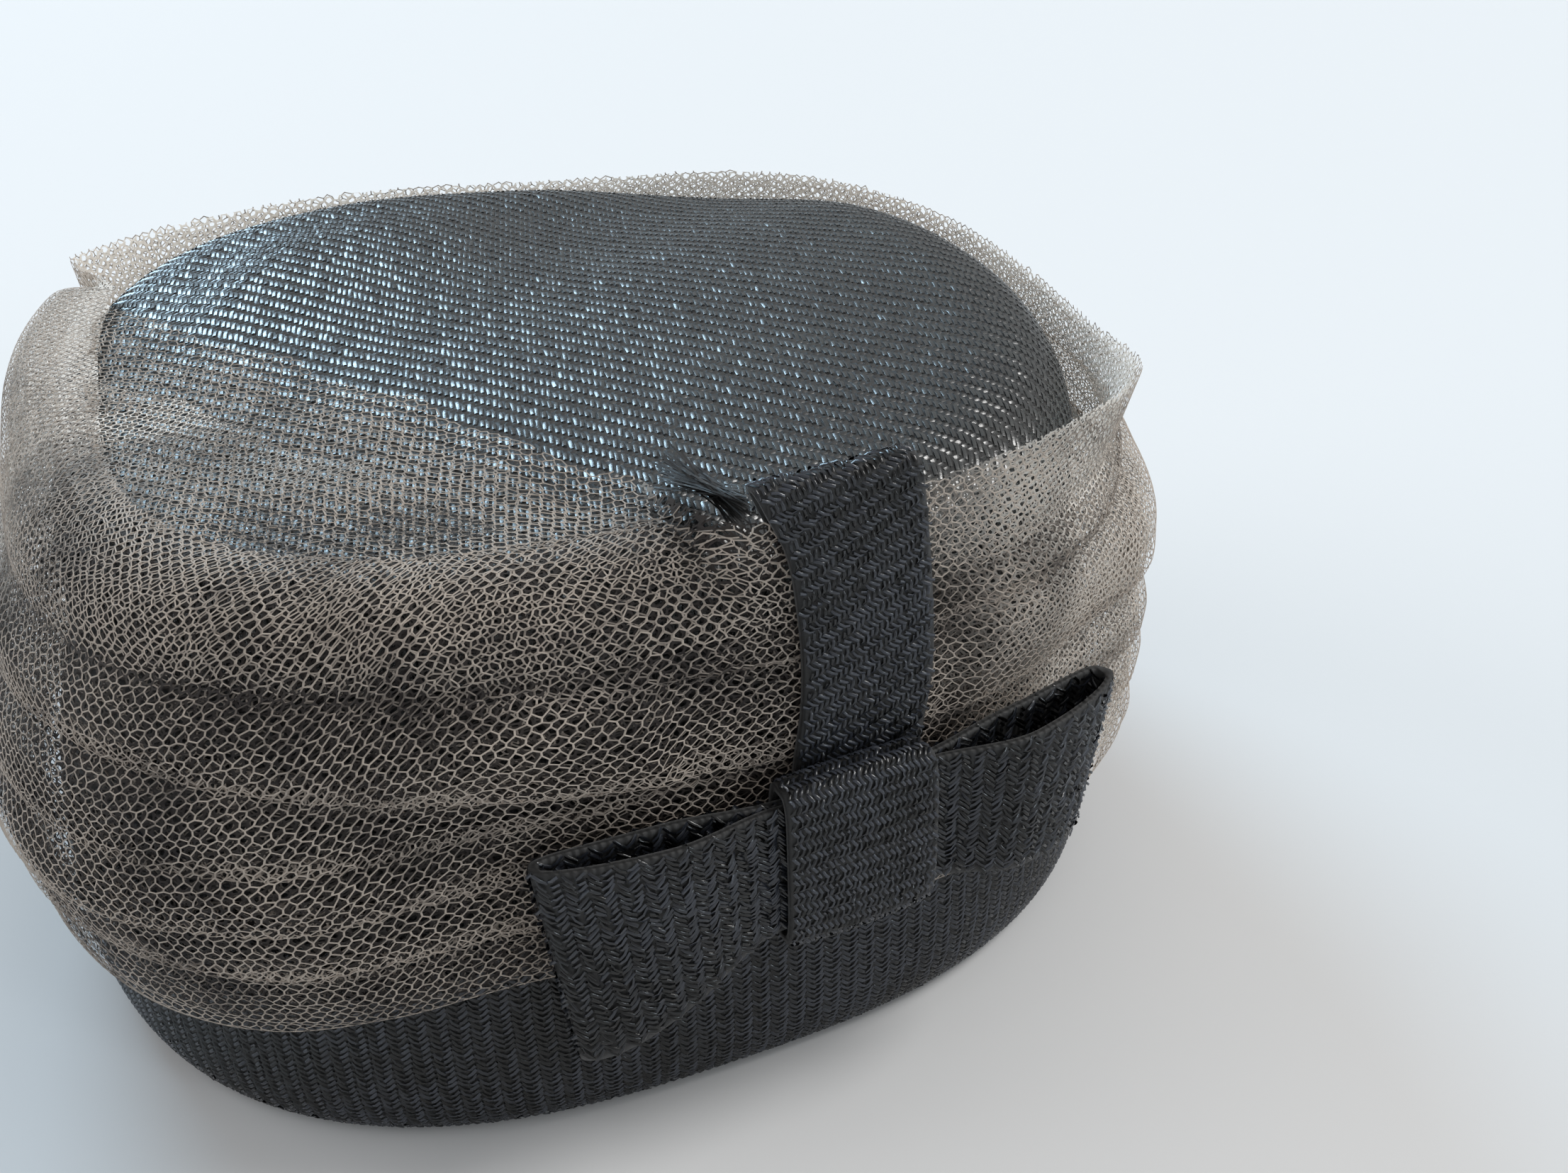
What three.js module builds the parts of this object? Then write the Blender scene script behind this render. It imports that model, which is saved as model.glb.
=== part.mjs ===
// Pillbox hat: a stiff straw-cloth side band and tip, swathed in tulle, with a strap and a flat bow in front.
// Millimetres, +Z up, the rim resting on z = 0. The front, with the bow, looks along -Y.
// "turn" is an angle round the head in degrees: 0 at the front, 90 at +X, the right as seen from the front.
// "offset" is the distance outwards from the head plan, so a point is placed by its turn, offset and height.
import * as THREE from "three";
import { mergeVertices } from "three/addons/utils/BufferGeometryUtils.js";

// Driving dimensions
const HEAD_RADIUS = 86; // mean of the plan's two half axes, outside the side band
const PLAN_STRETCH = 1.042; // how much wider the plan is from side to side than from front to back
const PLAN_SQUARENESS = 2.6; // exponent of the plan's superellipse: 2 would be an ellipse
const PLAN_TURN = -7.7; // the soft plan's flat front sits a little left of the strap
const AROUND = 64; // sections round the head

const CLOTH_WALL = 1.6; // straw cloth on its stiff base
const RIM_WALL = 3.2; // the same, doubled at the rolled rim
const TULLE_WALL = 1.2; // the gathered net as one wall
const TRIM_WALL = 1.1; // straw cloth of the strap and bow
const SEAM_GAP = 0.35; // between pieces that are sewn together

const MIDDLE = { x: 0.8, y: -2.4 }; // of the whole hat in plan, moved to the origin

const SEAM_HEIGHT = 76; // where the side band meets the tip
const DOME_RISE = 3.6; // of the tip, above its shoulder

// The soft crown by turn: how far its upper part leans in from the plan, and how far the shoulder rises
const CROWN_STATIONS = [
  { turn: -180, lean: 1, rise: 5 },
  { turn: -160, lean: 4, rise: 5.5 },
  { turn: -125, lean: 9, rise: 3.5 },
  { turn: -90, lean: 7, rise: 2 },
  { turn: -55, lean: 2, rise: 1 },
  { turn: -20, lean: 0, rise: 0.5 },
  { turn: 20, lean: 0, rise: 1 },
  { turn: 50, lean: 2, rise: 3 },
  { turn: 80, lean: -0.5, rise: 4.5 },
  { turn: 105, lean: -1.5, rise: 2.5 },
  { turn: 130, lean: -0.5, rise: -1.2 },
  { turn: 158, lean: 0, rise: 2.5 },
];
const LEAN_START = 14; // height where the upper part begins to lean
const LEAN_FULL = 64;

// Outside of the side band, from the rim up
const BAND_PROFILE = [
  { height: 0, offset: -5.4 },
  { height: 1.2, offset: -3.6 },
  { height: 3.6, offset: -1.9 },
  { height: 8, offset: -0.6 },
  { height: 16, offset: 0 },
  { height: 34, offset: -0.2 },
  { height: 56, offset: -1.6 },
  { height: SEAM_HEIGHT, offset: -3.4 },
];

// Outside of the tip's shoulder, from the seam inwards
const SHOULDER_PROFILE = [
  { height: SEAM_HEIGHT + SEAM_GAP, offset: -3.4 },
  { height: 79.5, offset: -4 },
  { height: 82.8, offset: -5.6 },
  { height: 85.6, offset: -8.6 },
  { height: 87.6, offset: -13 },
  { height: 88.6, offset: -19 },
];
const DOME_RINGS = [0.82, 0.62, 0.42, 0.21, 0]; // of the shoulder's inner radius

// Soft lobes and dents of the tip: centre, reach along and across its own direction, and rise
const TIP_LOBES = [
  { x: -26, y: 40, along: 40, across: 22, turn: 20, rise: 2 },
  { x: 26, y: 48, along: 30, across: 16, turn: 60, rise: -1.5 },
];

// How the tulle lies, by turn: the height of its hem and, where it stands free, its top edge
const TULLE_STATIONS = [
  { turn: -180, hem: 25, top: 90, lean: 4, billow: 5 },
  { turn: -150, hem: 24, top: 92.5, lean: 4.6, billow: 6 },
  { turn: -120, hem: 23, top: 96, lean: 4, billow: 7 },
  { turn: -90, hem: 22, top: 91, lean: 3, billow: 7 },
  { turn: -60, hem: 22.5, top: 93, lean: 3, billow: 7 },
  { turn: -45, hem: 26.5, top: 95, lean: 3, billow: 6 },
  { turn: -28, hem: 32, top: 96, lean: 3, billow: 5 },
  { turn: -10, hem: 30.5, top: 96, lean: 2.6, billow: 3 },
  { turn: 10, hem: 28, top: 95.5, lean: 2.6, billow: 3 },
  { turn: 28, hem: 24.5, top: 96, lean: 5, billow: 5 },
  { turn: 42, hem: 23, top: 93, lean: 6, billow: 5 },
  { turn: 60, hem: 22.5, top: 87.5, lean: 2.6, billow: 4.2 },
  { turn: 90, hem: 23, top: 87, lean: 2.6, billow: 4 },
  { turn: 120, hem: 24, top: 88, lean: 3, billow: 4 },
  { turn: 150, hem: 25, top: 86.5, lean: 4, billow: 5 },
];
const TULLE_HUG = 2.4; // the least offset of the tulle's middle, clear of the side band
const TULLE_SHOULDER = 80; // height where the tulle leaves the side
const TULLE_WALL_STEPS = 12;
const TULLE_TOP_STEPS = 5;

// The free edge of the tulle runs straight across the left of the tip, as a chord of the plan
const LAP_TURN = -66; // direction of the chord's middle
const LAP_DISTANCE = 36; // of the chord from the middle of the hat
const LAP_CLEAR = 1.5; // from the tip to the middle of the tulle
const LAP_SHOULDER = 12; // how far in from the plan the lap turns level
const LAP_BACK_TURN = -141; // where the top edge stands again at the back
const LAP_FRONT_TURN = 6.5; // beside the strap, where the top edge stands
const LAP_FADE_FRONT = 5; // turn over which the lap rises to the strap
const LAP_FADE_BACK = 11;
const LAP_BEND_SHARE = 0.4; // of the top's steps, those that go round the shoulder
const LAP_FULLNESS = 0.4; // how squarely it turns over the shoulder at the back left, 1 being round
const LAP_FULL_START = 80; // turn to the left from which it grows square
const LAP_FULL_END = 110;

// Swags of the tulle: heights by the strap, near it, at both sides and at the back, with swell and breadth
const SWAGS = [
  { strap: 79, near: 83, left: 81, right: 79, back: 75, swell: 2.4, breadth: 4.5 },
  { strap: 67.5, near: 75, left: 72.5, right: 69.5, back: 64.5, swell: 3.2, breadth: 4.5 },
  { strap: 62.5, near: 63.5, left: 61.5, right: 58.5, back: 53.5, swell: 2.6, breadth: 4 },
  { strap: 54.5, near: 56, left: 49.5, right: 47.5, back: 43.5, swell: 2.6, breadth: 4.5 },
  { strap: 46.5, near: 46, left: 38.5, right: 37.5, back: 35.5, swell: 2, breadth: 4 },
];
const STRAP_PRESS = 11.5; // half the turn within which the strap presses the tulle flat
const STRAP_FADE = 9;
const BOW_PRESS = 28; // the same for the bow, below its top
const BOW_FADE = 18;

// Strap over the front of the tulle, by height: its two edges as turns
const STRAP_EDGES = [
  { height: 46, left: -4, right: 7.8 },
  { height: 59, left: -3.6, right: 8.8 },
  { height: 67, left: -2.8, right: 9.6 },
  { height: 82, left: -2.9, right: 9.4 },
  { height: 92, left: -4, right: 8.8 },
  { height: 97, left: -5.4, right: 8.4 },
  { height: 102, left: -6.8, right: 7.8 },
];
const STRAP_TOP = 101; // outside of the fold over the tulle's edge
const STRAP_TAIL_END = 89; // the tail's end, tucked in behind the tulle
const STRAP_STEPS_UP = 10;
const STRAP_STEPS_OVER = 6;
const STRAP_STEPS_ACROSS = 5;

// Bow: a knot band round the pinched roots of two loops
const KNOT = { offset: 8.2, height: 46.8, deep: 3.4, tall: 13.4, left: -6.4, right: 6.9 };
const KNOT_FLATNESS = 4; // exponent of the knot band's section
const KNOT_STEPS = 24;
const KNOT_ACROSS = 4;
const ROOT_GAP = 0.8; // between the two roots, inside the knot
const WING_STEPS = 28;
const WING_RISERS = 4;
const WINGS = [
  {
    name: "bow_wing_left",
    side: -1,
    tipTurn: 26.6,
    slant: 2.2,
    root: { bottom: 36.4, top: 57, half: 1.25, middle: 8.2 },
    tip: { bottom: 23.5, top: 57, half: 3.2, middle: 8.6 },
    topLean: 0.5,
  },
  {
    name: "bow_wing_right",
    side: 1,
    tipTurn: 25.8,
    slant: 2.6,
    root: { bottom: 36.4, top: 57, half: 1.25, middle: 8.2 },
    tip: { bottom: 33, top: 58.5, half: 4, middle: 9.6 },
    topLean: 2,
  },
];
const WING_BLUNTNESS = 0.6; // below 1 the loop's ends are blunt

const { clamp, degToRad, lerp, smoothstep } = THREE.MathUtils;

// Plan radius of the head at a turn.
function planRadius(turn) {
  const angle = degToRad(turn - PLAN_TURN);
  const across = Math.abs(Math.sin(angle)) / Math.sqrt(PLAN_STRETCH);
  const along = Math.abs(Math.cos(angle)) * Math.sqrt(PLAN_STRETCH);
  return HEAD_RADIUS * (across ** PLAN_SQUARENESS + along ** PLAN_SQUARENESS) ** (-1 / PLAN_SQUARENESS);
}

// Point at a turn, radius and height.
function pointAt(turn, radius, height) {
  const angle = degToRad(turn);
  return new THREE.Vector3(radius * Math.sin(angle), -radius * Math.cos(angle), height);
}

// Radius of the crown's plan at a turn and height, with its lean.
function crownRadius(turn, height) {
  return planRadius(turn) - crownLean(turn) * smoothstep(height, LEAN_START, LEAN_FULL);
}

// Point at a turn, offset from the crown's plan and height.
function onHead(turn, offset, height) {
  return pointAt(turn, crownRadius(turn, height) + offset, height);
}

function sequence(steps) {
  return Array.from({ length: steps + 1 }, (_, i) => i / steps);
}

const TURNS = sequence(AROUND).slice(0, -1).map((t) => -180 + 360 * t);

// A smooth curve through one column of a table, read at any value of its key.
function curveOf(rows, key, column) {
  const curve = new THREE.CubicInterpolant(rows.map((row) => row[key]), rows.map((row) => row[column]), 1);
  return (value) => curve.evaluate(clamp(value, rows[0][key], rows[rows.length - 1][key]))[0];
}

// The same for a table that runs once round the head.
function curveAround(rows, column) {
  const moved = (by) => rows.map((row) => ({ ...row, turn: row.turn + by }));
  return curveOf([...moved(-360), ...rows, ...moved(360)], "turn", column);
}

const crownLean = curveAround(CROWN_STATIONS, "lean");
const crownRise = curveAround(CROWN_STATIONS, "rise");
const tulleHem = curveAround(TULLE_STATIONS, "hem");
const tulleTop = curveAround(TULLE_STATIONS, "top");
const tulleLean = curveAround(TULLE_STATIONS, "lean");
const tulleBillow = curveAround(TULLE_STATIONS, "billow");
const strapLeft = curveOf(STRAP_EDGES, "height", "left");
const strapRight = curveOf(STRAP_EDGES, "height", "right");
const swagHeights = SWAGS.map((swag) => curveAround([
  { turn: -180, height: swag.back },
  { turn: -90, height: swag.left },
  { turn: -45, height: swag.near },
  { turn: -8, height: swag.strap },
  { turn: 90, height: swag.right },
], "height"));

// A cloth wall as a closed solid between two grids of points, face[i][j] and back[i][j].
// A ring closes on itself along i. Corners that fall together, as at a dome's pole, lose empty triangles.
function clothSolid(face, back, ring) {
  const points = [];
  const faces = [];
  const rows = face.length;
  const columns = face[0].length;
  for (const grid of [face, back]) for (const row of grid) points.push(...row);
  const at = (side, i, j) => (side * rows + (i % rows)) * columns + j;
  const quad = (a, b, c, d) => faces.push([a, b, c], [a, c, d]);
  const spans = ring ? rows : rows - 1;
  for (let i = 0; i < spans; i++) {
    for (let j = 0; j < columns - 1; j++) {
      quad(at(0, i, j), at(0, i + 1, j), at(0, i + 1, j + 1), at(0, i, j + 1));
      quad(at(1, i, j + 1), at(1, i + 1, j + 1), at(1, i + 1, j), at(1, i, j));
    }
    quad(at(1, i, 0), at(1, i + 1, 0), at(0, i + 1, 0), at(0, i, 0));
    const last = columns - 1;
    quad(at(0, i, last), at(0, i + 1, last), at(1, i + 1, last), at(1, i, last));
  }
  if (!ring) {
    const end = rows - 1;
    for (let j = 0; j < columns - 1; j++) {
      quad(at(0, 0, j), at(0, 0, j + 1), at(1, 0, j + 1), at(1, 0, j));
      quad(at(1, end, j), at(1, end, j + 1), at(0, end, j + 1), at(0, end, j));
    }
  }
  return closedGeometry(points, faces);
}

// Merges equal corners, drops empty triangles and turns the surface to face outwards.
function closedGeometry(points, faces) {
  const loose = new THREE.BufferGeometry().setFromPoints(points);
  loose.setIndex(faces.flat());
  const merged = mergeVertices(loose, 1e-3);
  const corners = merged.index.array;
  const position = merged.attributes.position;
  const kept = [];
  let volume = 0;
  const [a, b, c] = [new THREE.Vector3(), new THREE.Vector3(), new THREE.Vector3()];
  for (let i = 0; i < corners.length; i += 3) {
    const [p, q, r] = corners.slice(i, i + 3);
    if (p === q || q === r || r === p) continue;
    kept.push([p, q, r]);
    a.fromBufferAttribute(position, p);
    b.fromBufferAttribute(position, q);
    c.fromBufferAttribute(position, r);
    volume += a.dot(b.cross(c));
  }
  merged.setIndex((volume < 0 ? kept.map(([p, q, r]) => [p, r, q]) : kept).flat());
  merged.computeVertexNormals();
  return merged;
}

// Smooth run through a profile table, as offsets and heights.
function profilePoints(profile, steps) {
  const curve = new THREE.SplineCurve(profile.map((row) => new THREE.Vector2(row.offset, row.height)));
  return curve.getPoints(steps);
}

// A profile moved inwards by its wall, which may vary along it.
function innerProfile(points, wallAt) {
  return points.map((point, i) => {
    const before = points[Math.max(i - 1, 0)];
    const after = points[Math.min(i + 1, points.length - 1)];
    const along = after.clone().sub(before).normalize();
    return new THREE.Vector2(-along.y, along.x).multiplyScalar(wallAt(point)).add(point);
  });
}

// Side band: the upright wall with its rolled-in rim, flat where it rests.
function sideBand() {
  const outside = profilePoints(BAND_PROFILE, 8);
  const wallAt = (point) => lerp(RIM_WALL, CLOTH_WALL, smoothstep(point.y, 0, 9));
  const inside = innerProfile(outside, wallAt);
  inside[0].set(outside[0].x - RIM_WALL, outside[0].y);
  inside[inside.length - 1].set(outside[outside.length - 1].x - CLOTH_WALL, SEAM_HEIGHT);
  const wall = (points) => TURNS.map((turn) => points.map((p) => onHead(turn, p.x, p.y)));
  return clothSolid(wall(outside), wall(inside), true);
}

// Rise of the tip's soft lobes and dents at a place in plan.
function lobeRise(x, y) {
  return TIP_LOBES.reduce((sum, lobe) => {
    const turn = degToRad(lobe.turn);
    const along = ((x - lobe.x) * Math.cos(turn) + (y - lobe.y) * Math.sin(turn)) / lobe.along;
    const across = ((y - lobe.y) * Math.cos(turn) - (x - lobe.x) * Math.sin(turn)) / lobe.across;
    return sum + lobe.rise * Math.exp(-along * along - across * across);
  }, 0);
}

const SHOULDER_END = SHOULDER_PROFILE[SHOULDER_PROFILE.length - 1];

// Rise of the soft shoulder at a turn, from none at the seam.
function shoulderRise(turn, height) {
  return crownRise(turn) * smoothstep(height, SEAM_HEIGHT + 1, SHOULDER_END.height - 1);
}

// Radius where the shoulder ends and the dome begins.
function domeRadius(turn) {
  return crownRadius(turn, SEAM_HEIGHT) + SHOULDER_END.offset;
}

// Height of the tip's outside at a turn and radius, in from its shoulder.
function tipHeight(turn, radius) {
  const place = pointAt(turn, radius, 0);
  const share = clamp(radius / domeRadius(turn), 0, 1);
  const inward = 1 - share * share;
  const soft = lobeRise(place.x, place.y) * smoothstep(inward, 0, 0.45);
  return SHOULDER_END.height + crownRise(turn) * share * share + DOME_RISE * inward + soft;
}

// Tip: a shoulder turned down to the seam and a soft dome.
function crownTip() {
  const shoulder = profilePoints(SHOULDER_PROFILE, 5);
  const backs = innerProfile(shoulder, () => CLOTH_WALL);
  backs[0].set(shoulder[0].x - CLOTH_WALL, shoulder[0].y);
  const side = (profile, drop) => TURNS.map((turn) => {
    const turned = profile.map((p, i) => onHead(turn, p.x, p.y + shoulderRise(turn, shoulder[i].y)));
    const dome = DOME_RINGS.map((share) => {
      const radius = domeRadius(turn) * share;
      return pointAt(turn, radius, tipHeight(turn, radius) - drop);
    });
    return [...turned, ...dome];
  });
  return clothSolid(side(shoulder, 0), side(backs, CLOTH_WALL), true);
}

// Share from 0 to 1 of the strap's and bow's press on the tulle.
function pressAt(turn, height) {
  const strap = 1 - smoothstep(Math.abs(turn), STRAP_PRESS, STRAP_PRESS + STRAP_FADE);
  const besideBow = 1 - smoothstep(Math.abs(turn), BOW_PRESS, BOW_PRESS + BOW_FADE);
  const bowTop = KNOT.height + KNOT.tall;
  const belowBow = 1 - smoothstep(height, bowTop, bowTop + BOW_FADE);
  return Math.max(strap, besideBow * belowBow);
}

// Offset of the tulle's middle on the side of the hat.
function tulleOffset(turn, height) {
  const hem = tulleHem(turn);
  const share = clamp((height - hem) / (TULLE_SHOULDER - hem), 0, 1);
  const billow = tulleBillow(turn) * Math.sin(Math.PI * share);
  const swags = SWAGS.reduce((sum, swag, i) => {
    const away = (height - swagHeights[i](turn)) / swag.breadth;
    return sum + swag.swell * Math.exp(-away * away);
  }, 0);
  const free = (billow + swags * smoothstep(share, 0, 0.25)) * (1 - pressAt(turn, height));
  return TULLE_HUG + free;
}

// Share from 0 to 1 by which the tulle's top lies over on the tip instead of standing.
function lapShare(turn) {
  const front = smoothstep(-turn, LAP_FRONT_TURN, LAP_FRONT_TURN + LAP_FADE_FRONT);
  const back = smoothstep(turn, LAP_BACK_TURN, LAP_BACK_TURN + LAP_FADE_BACK);
  return front * back;
}

// Section of the tulle at a turn, as radius and height from hem to top edge.
function tulleSection(turn) {
  const wall = sequence(TULLE_WALL_STEPS).map((share) => {
    const height = lerp(tulleHem(turn), TULLE_SHOULDER, share);
    return new THREE.Vector2(crownRadius(turn, height) + tulleOffset(turn, height), height);
  });
  const shoulder = wall[wall.length - 1];
  const standing = new THREE.Vector2(crownRadius(turn, SEAM_HEIGHT) + tulleLean(turn), tulleTop(turn));
  const fromChord = Math.cos(degToRad(turn - LAP_TURN));
  const chord = fromChord > 0.1 ? LAP_DISTANCE / fromChord : LAP_DISTANCE / 0.1;
  const lapped = lapShare(turn);
  const level = new THREE.Vector2(crownRadius(turn, SEAM_HEIGHT) - LAP_SHOULDER, 0);
  level.y = tipHeight(turn, level.x) + LAP_CLEAR;
  const lapEnd = Math.min(chord, level.x);
  const full = lerp(1, LAP_FULLNESS, smoothstep(-turn, LAP_FULL_START, LAP_FULL_END));
  const top = sequence(TULLE_TOP_STEPS).slice(1).map((share) => {
    const stand = shoulder.clone().lerp(standing, share);
    const bend = Math.min(share / LAP_BEND_SHARE, 1) * (Math.PI / 2);
    const over = new THREE.Vector2(
      level.x + (shoulder.x - level.x) * Math.cos(bend) ** full,
      shoulder.y + (level.y - shoulder.y) * Math.sin(bend) ** full,
    );
    const inward = clamp((share - LAP_BEND_SHARE) / (1 - LAP_BEND_SHARE), 0, 1);
    if (inward > 0) {
      over.x = lerp(level.x, lapEnd, inward);
      over.y = tipHeight(turn, over.x) + LAP_CLEAR;
    }
    return stand.lerp(over, lapped);
  });
  return [...wall, ...top];
}

// Tulle: one gathered wall from the hem, over its swags, to the free top edge.
function tulleDrape() {
  const middles = TURNS.map(tulleSection);
  const half = TULLE_WALL / 2;
  const side = (sign) => TURNS.map((turn, i) => {
    const moved = innerProfile(middles[i], () => sign * half);
    return moved.map((p) => pointAt(turn, p.x, p.y));
  });
  return clothSolid(side(-1), side(1), true);
}

// Strap: up the front of the tulle from behind the knot, over its top edge and down behind it.
function frontStrap() {
  const gap = TULLE_WALL / 2 + SEAM_GAP;
  const outer = gap + TRIM_WALL;
  const foot = STRAP_EDGES[0].height;
  const lean = tulleLean(0);
  const crest = STRAP_TOP - outer;
  const route = [
    ...sequence(STRAP_STEPS_UP).map((share) => {
      const height = lerp(foot, crest, share);
      const rest = lerp(TULLE_HUG, lean, smoothstep(height, TULLE_SHOULDER, crest));
      return { offset: rest, height, bend: 0 };
    }),
    ...sequence(STRAP_STEPS_OVER).slice(1).map((share) => (
      { offset: lean, height: crest, bend: Math.PI * share }
    )),
    { offset: lean, height: STRAP_TAIL_END, bend: Math.PI },
  ];
  const side = (reach) => route.map(({ offset, height, bend }) => {
    const place = { offset: offset + reach * Math.cos(bend), height: height + reach * Math.sin(bend) };
    return sequence(STRAP_STEPS_ACROSS).map((share) => {
      const turn = lerp(strapLeft(place.height), strapRight(place.height), share);
      return onHead(turn, place.offset, place.height);
    });
  });
  return clothSolid(side(outer), side(gap), false);
}

// Knot: a flattened band that goes round the roots of both wings.
function bowKnot() {
  const side = (inset) => sequence(KNOT_STEPS).slice(0, -1).map((share) => {
    const angle = 2 * Math.PI * share;
    const rounded = (value) => Math.sign(value) * Math.abs(value) ** (2 / KNOT_FLATNESS);
    const offset = KNOT.offset + (KNOT.deep - inset) * rounded(Math.cos(angle));
    const height = KNOT.height + (KNOT.tall - inset) * rounded(Math.sin(angle));
    return sequence(KNOT_ACROSS).map((across) => onHead(lerp(KNOT.left, KNOT.right, across), offset, height));
  });
  return clothSolid(side(0), side(TRIM_WALL), true);
}

// Wing: a loop of cloth, pinched at its root in the knot and open at its top and bottom.
function bowWing(wing) {
  const rootTurn = THREE.MathUtils.radToDeg(ROOT_GAP / 2 / HEAD_RADIUS);
  const wallTurn = THREE.MathUtils.radToDeg(TRIM_WALL / HEAD_RADIUS);
  const side = (inset) => sequence(WING_STEPS).slice(0, -1).map((share) => {
    const angle = 2 * Math.PI * share;
    const near = rootTurn + (inset / TRIM_WALL) * wallTurn;
    const far = wing.tipTurn - (inset / TRIM_WALL) * wallTurn;
    const turn = lerp(near, far, (1 - Math.cos(angle)) / 2);
    const out = smoothstep(turn, KNOT.right - 1, wing.tipTurn);
    const open = smoothstep(turn, KNOT.right, KNOT.right + 9);
    const half = lerp(wing.root.half, wing.tip.half, open) - inset;
    const sine = Math.sin(angle);
    const bulge = half * Math.sign(sine) * Math.abs(sine) ** WING_BLUNTNESS;
    const middle = lerp(wing.root.middle, wing.tip.middle, open);
    const bottom = lerp(wing.root.bottom, wing.tip.bottom, out);
    const top = lerp(wing.root.top, wing.tip.top, out);
    return sequence(WING_RISERS).map((rise) => {
      const lean = wing.topLean * out * rise;
      const slanted = turn - wing.slant * out * (1 - rise);
      return onHead(wing.side * slanted, middle + bulge + lean, lerp(bottom, top, rise));
    });
  });
  return clothSolid(side(0), side(TRIM_WALL), true);
}

const strawCloth = (colour) => (
  new THREE.MeshStandardMaterial({ color: colour, roughness: 0.38, metalness: 0 })
);
const tulleNet = new THREE.MeshStandardMaterial({ color: 0x8c8378, roughness: 0.75, metalness: 0 });

function piece(name, geometry, material) {
  const mesh = new THREE.Mesh(geometry, material);
  mesh.name = name;
  return mesh;
}

const hat = new THREE.Group();
hat.add(
  piece("side_band", sideBand(), strawCloth(0x23282a)),
  piece("crown_tip", crownTip(), strawCloth(0x2a3132)),
  piece("tulle_drape", tulleDrape(), tulleNet),
  piece("front_strap", frontStrap(), strawCloth(0x26282a)),
  piece("bow_knot", bowKnot(), strawCloth(0x26282a)),
);
for (const wing of WINGS) hat.add(piece(wing.name, bowWing(wing), strawCloth(0x242628)));
hat.position.set(-MIDDLE.x, -MIDDLE.y, 0);

const group = new THREE.Group();
group.add(hat);

export default group;
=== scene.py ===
"""Pillbox hat of straw cloth and gathered tulle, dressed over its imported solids."""

import math

import bmesh
import bpy
import numpy as np
from bpy.props import FloatProperty, FloatVectorProperty, IntProperty, PointerProperty
from mathutils import Matrix, Vector


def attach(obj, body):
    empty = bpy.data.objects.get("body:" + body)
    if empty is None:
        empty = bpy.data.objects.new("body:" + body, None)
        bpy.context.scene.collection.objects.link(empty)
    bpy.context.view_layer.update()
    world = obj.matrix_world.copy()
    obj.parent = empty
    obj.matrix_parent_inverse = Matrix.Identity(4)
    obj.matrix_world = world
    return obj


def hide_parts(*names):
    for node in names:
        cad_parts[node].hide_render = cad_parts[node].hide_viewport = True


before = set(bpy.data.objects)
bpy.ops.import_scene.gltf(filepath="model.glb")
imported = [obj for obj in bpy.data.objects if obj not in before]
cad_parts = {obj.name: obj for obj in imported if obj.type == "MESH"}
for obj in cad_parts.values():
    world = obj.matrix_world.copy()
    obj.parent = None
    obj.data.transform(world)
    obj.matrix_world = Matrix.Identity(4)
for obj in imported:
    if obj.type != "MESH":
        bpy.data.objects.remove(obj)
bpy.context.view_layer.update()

bl_info = {
    "name": "Pillbox hat with tulle and bow",
    "version": (1, 0, 0),
    "blender": (4, 5, 0),
    "location": "3D View > Sidebar > Hat",
    "description": "Weaves the straw cloth, nets the tulle and ties the bow of a pillbox hat",
    "category": "Add Mesh",
}

MM = 0.001
MIDDLE = np.array([0.8, -2.4, 0.0])  # of the hat in plan, at the origin of the frame

# The hat's form, in millimetres and degrees, as its solids have it. Turn 0 is the front, 90 is +X.
HEAD_RADIUS = 86
PLAN_STRETCH = 1.042
PLAN_SQUARENESS = 2.6
PLAN_TURN = -7.7
CLOTH_WALL = 1.6
RIM_WALL = 3.2
TULLE_WALL = 1.2
TRIM_WALL = 1.1
SEAM_GAP = 0.35
SEAM_HEIGHT = 76
DOME_RISE = 3.6
LEAN_START = 14
LEAN_FULL = 64

CROWN_STATIONS = [
    dict(turn=-180, lean=1, rise=5),
    dict(turn=-160, lean=4, rise=5.5),
    dict(turn=-125, lean=9, rise=3.5),
    dict(turn=-90, lean=7, rise=2),
    dict(turn=-55, lean=2, rise=1),
    dict(turn=-20, lean=0, rise=0.5),
    dict(turn=20, lean=0, rise=1),
    dict(turn=50, lean=2, rise=3),
    dict(turn=80, lean=-0.5, rise=4.5),
    dict(turn=105, lean=-1.5, rise=2.5),
    dict(turn=130, lean=-0.5, rise=-1.2),
    dict(turn=158, lean=0, rise=2.5),
]
BAND_PROFILE = [
    dict(height=0, offset=-5.4),
    dict(height=1.2, offset=-3.6),
    dict(height=3.6, offset=-1.9),
    dict(height=8, offset=-0.6),
    dict(height=16, offset=0),
    dict(height=34, offset=-0.2),
    dict(height=56, offset=-1.6),
    dict(height=SEAM_HEIGHT, offset=-3.4),
]
SHOULDER_PROFILE = [
    dict(height=SEAM_HEIGHT + SEAM_GAP, offset=-3.4),
    dict(height=79.5, offset=-4),
    dict(height=82.8, offset=-5.6),
    dict(height=85.6, offset=-8.6),
    dict(height=87.6, offset=-13),
    dict(height=88.6, offset=-19),
]
TIP_LOBES = [
    dict(x=-26, y=40, along=40, across=22, turn=20, rise=2),
    dict(x=26, y=48, along=30, across=16, turn=60, rise=-1.5),
]
LOBE_FADE = 0.45  # how far in the lobes are at their full height
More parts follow.
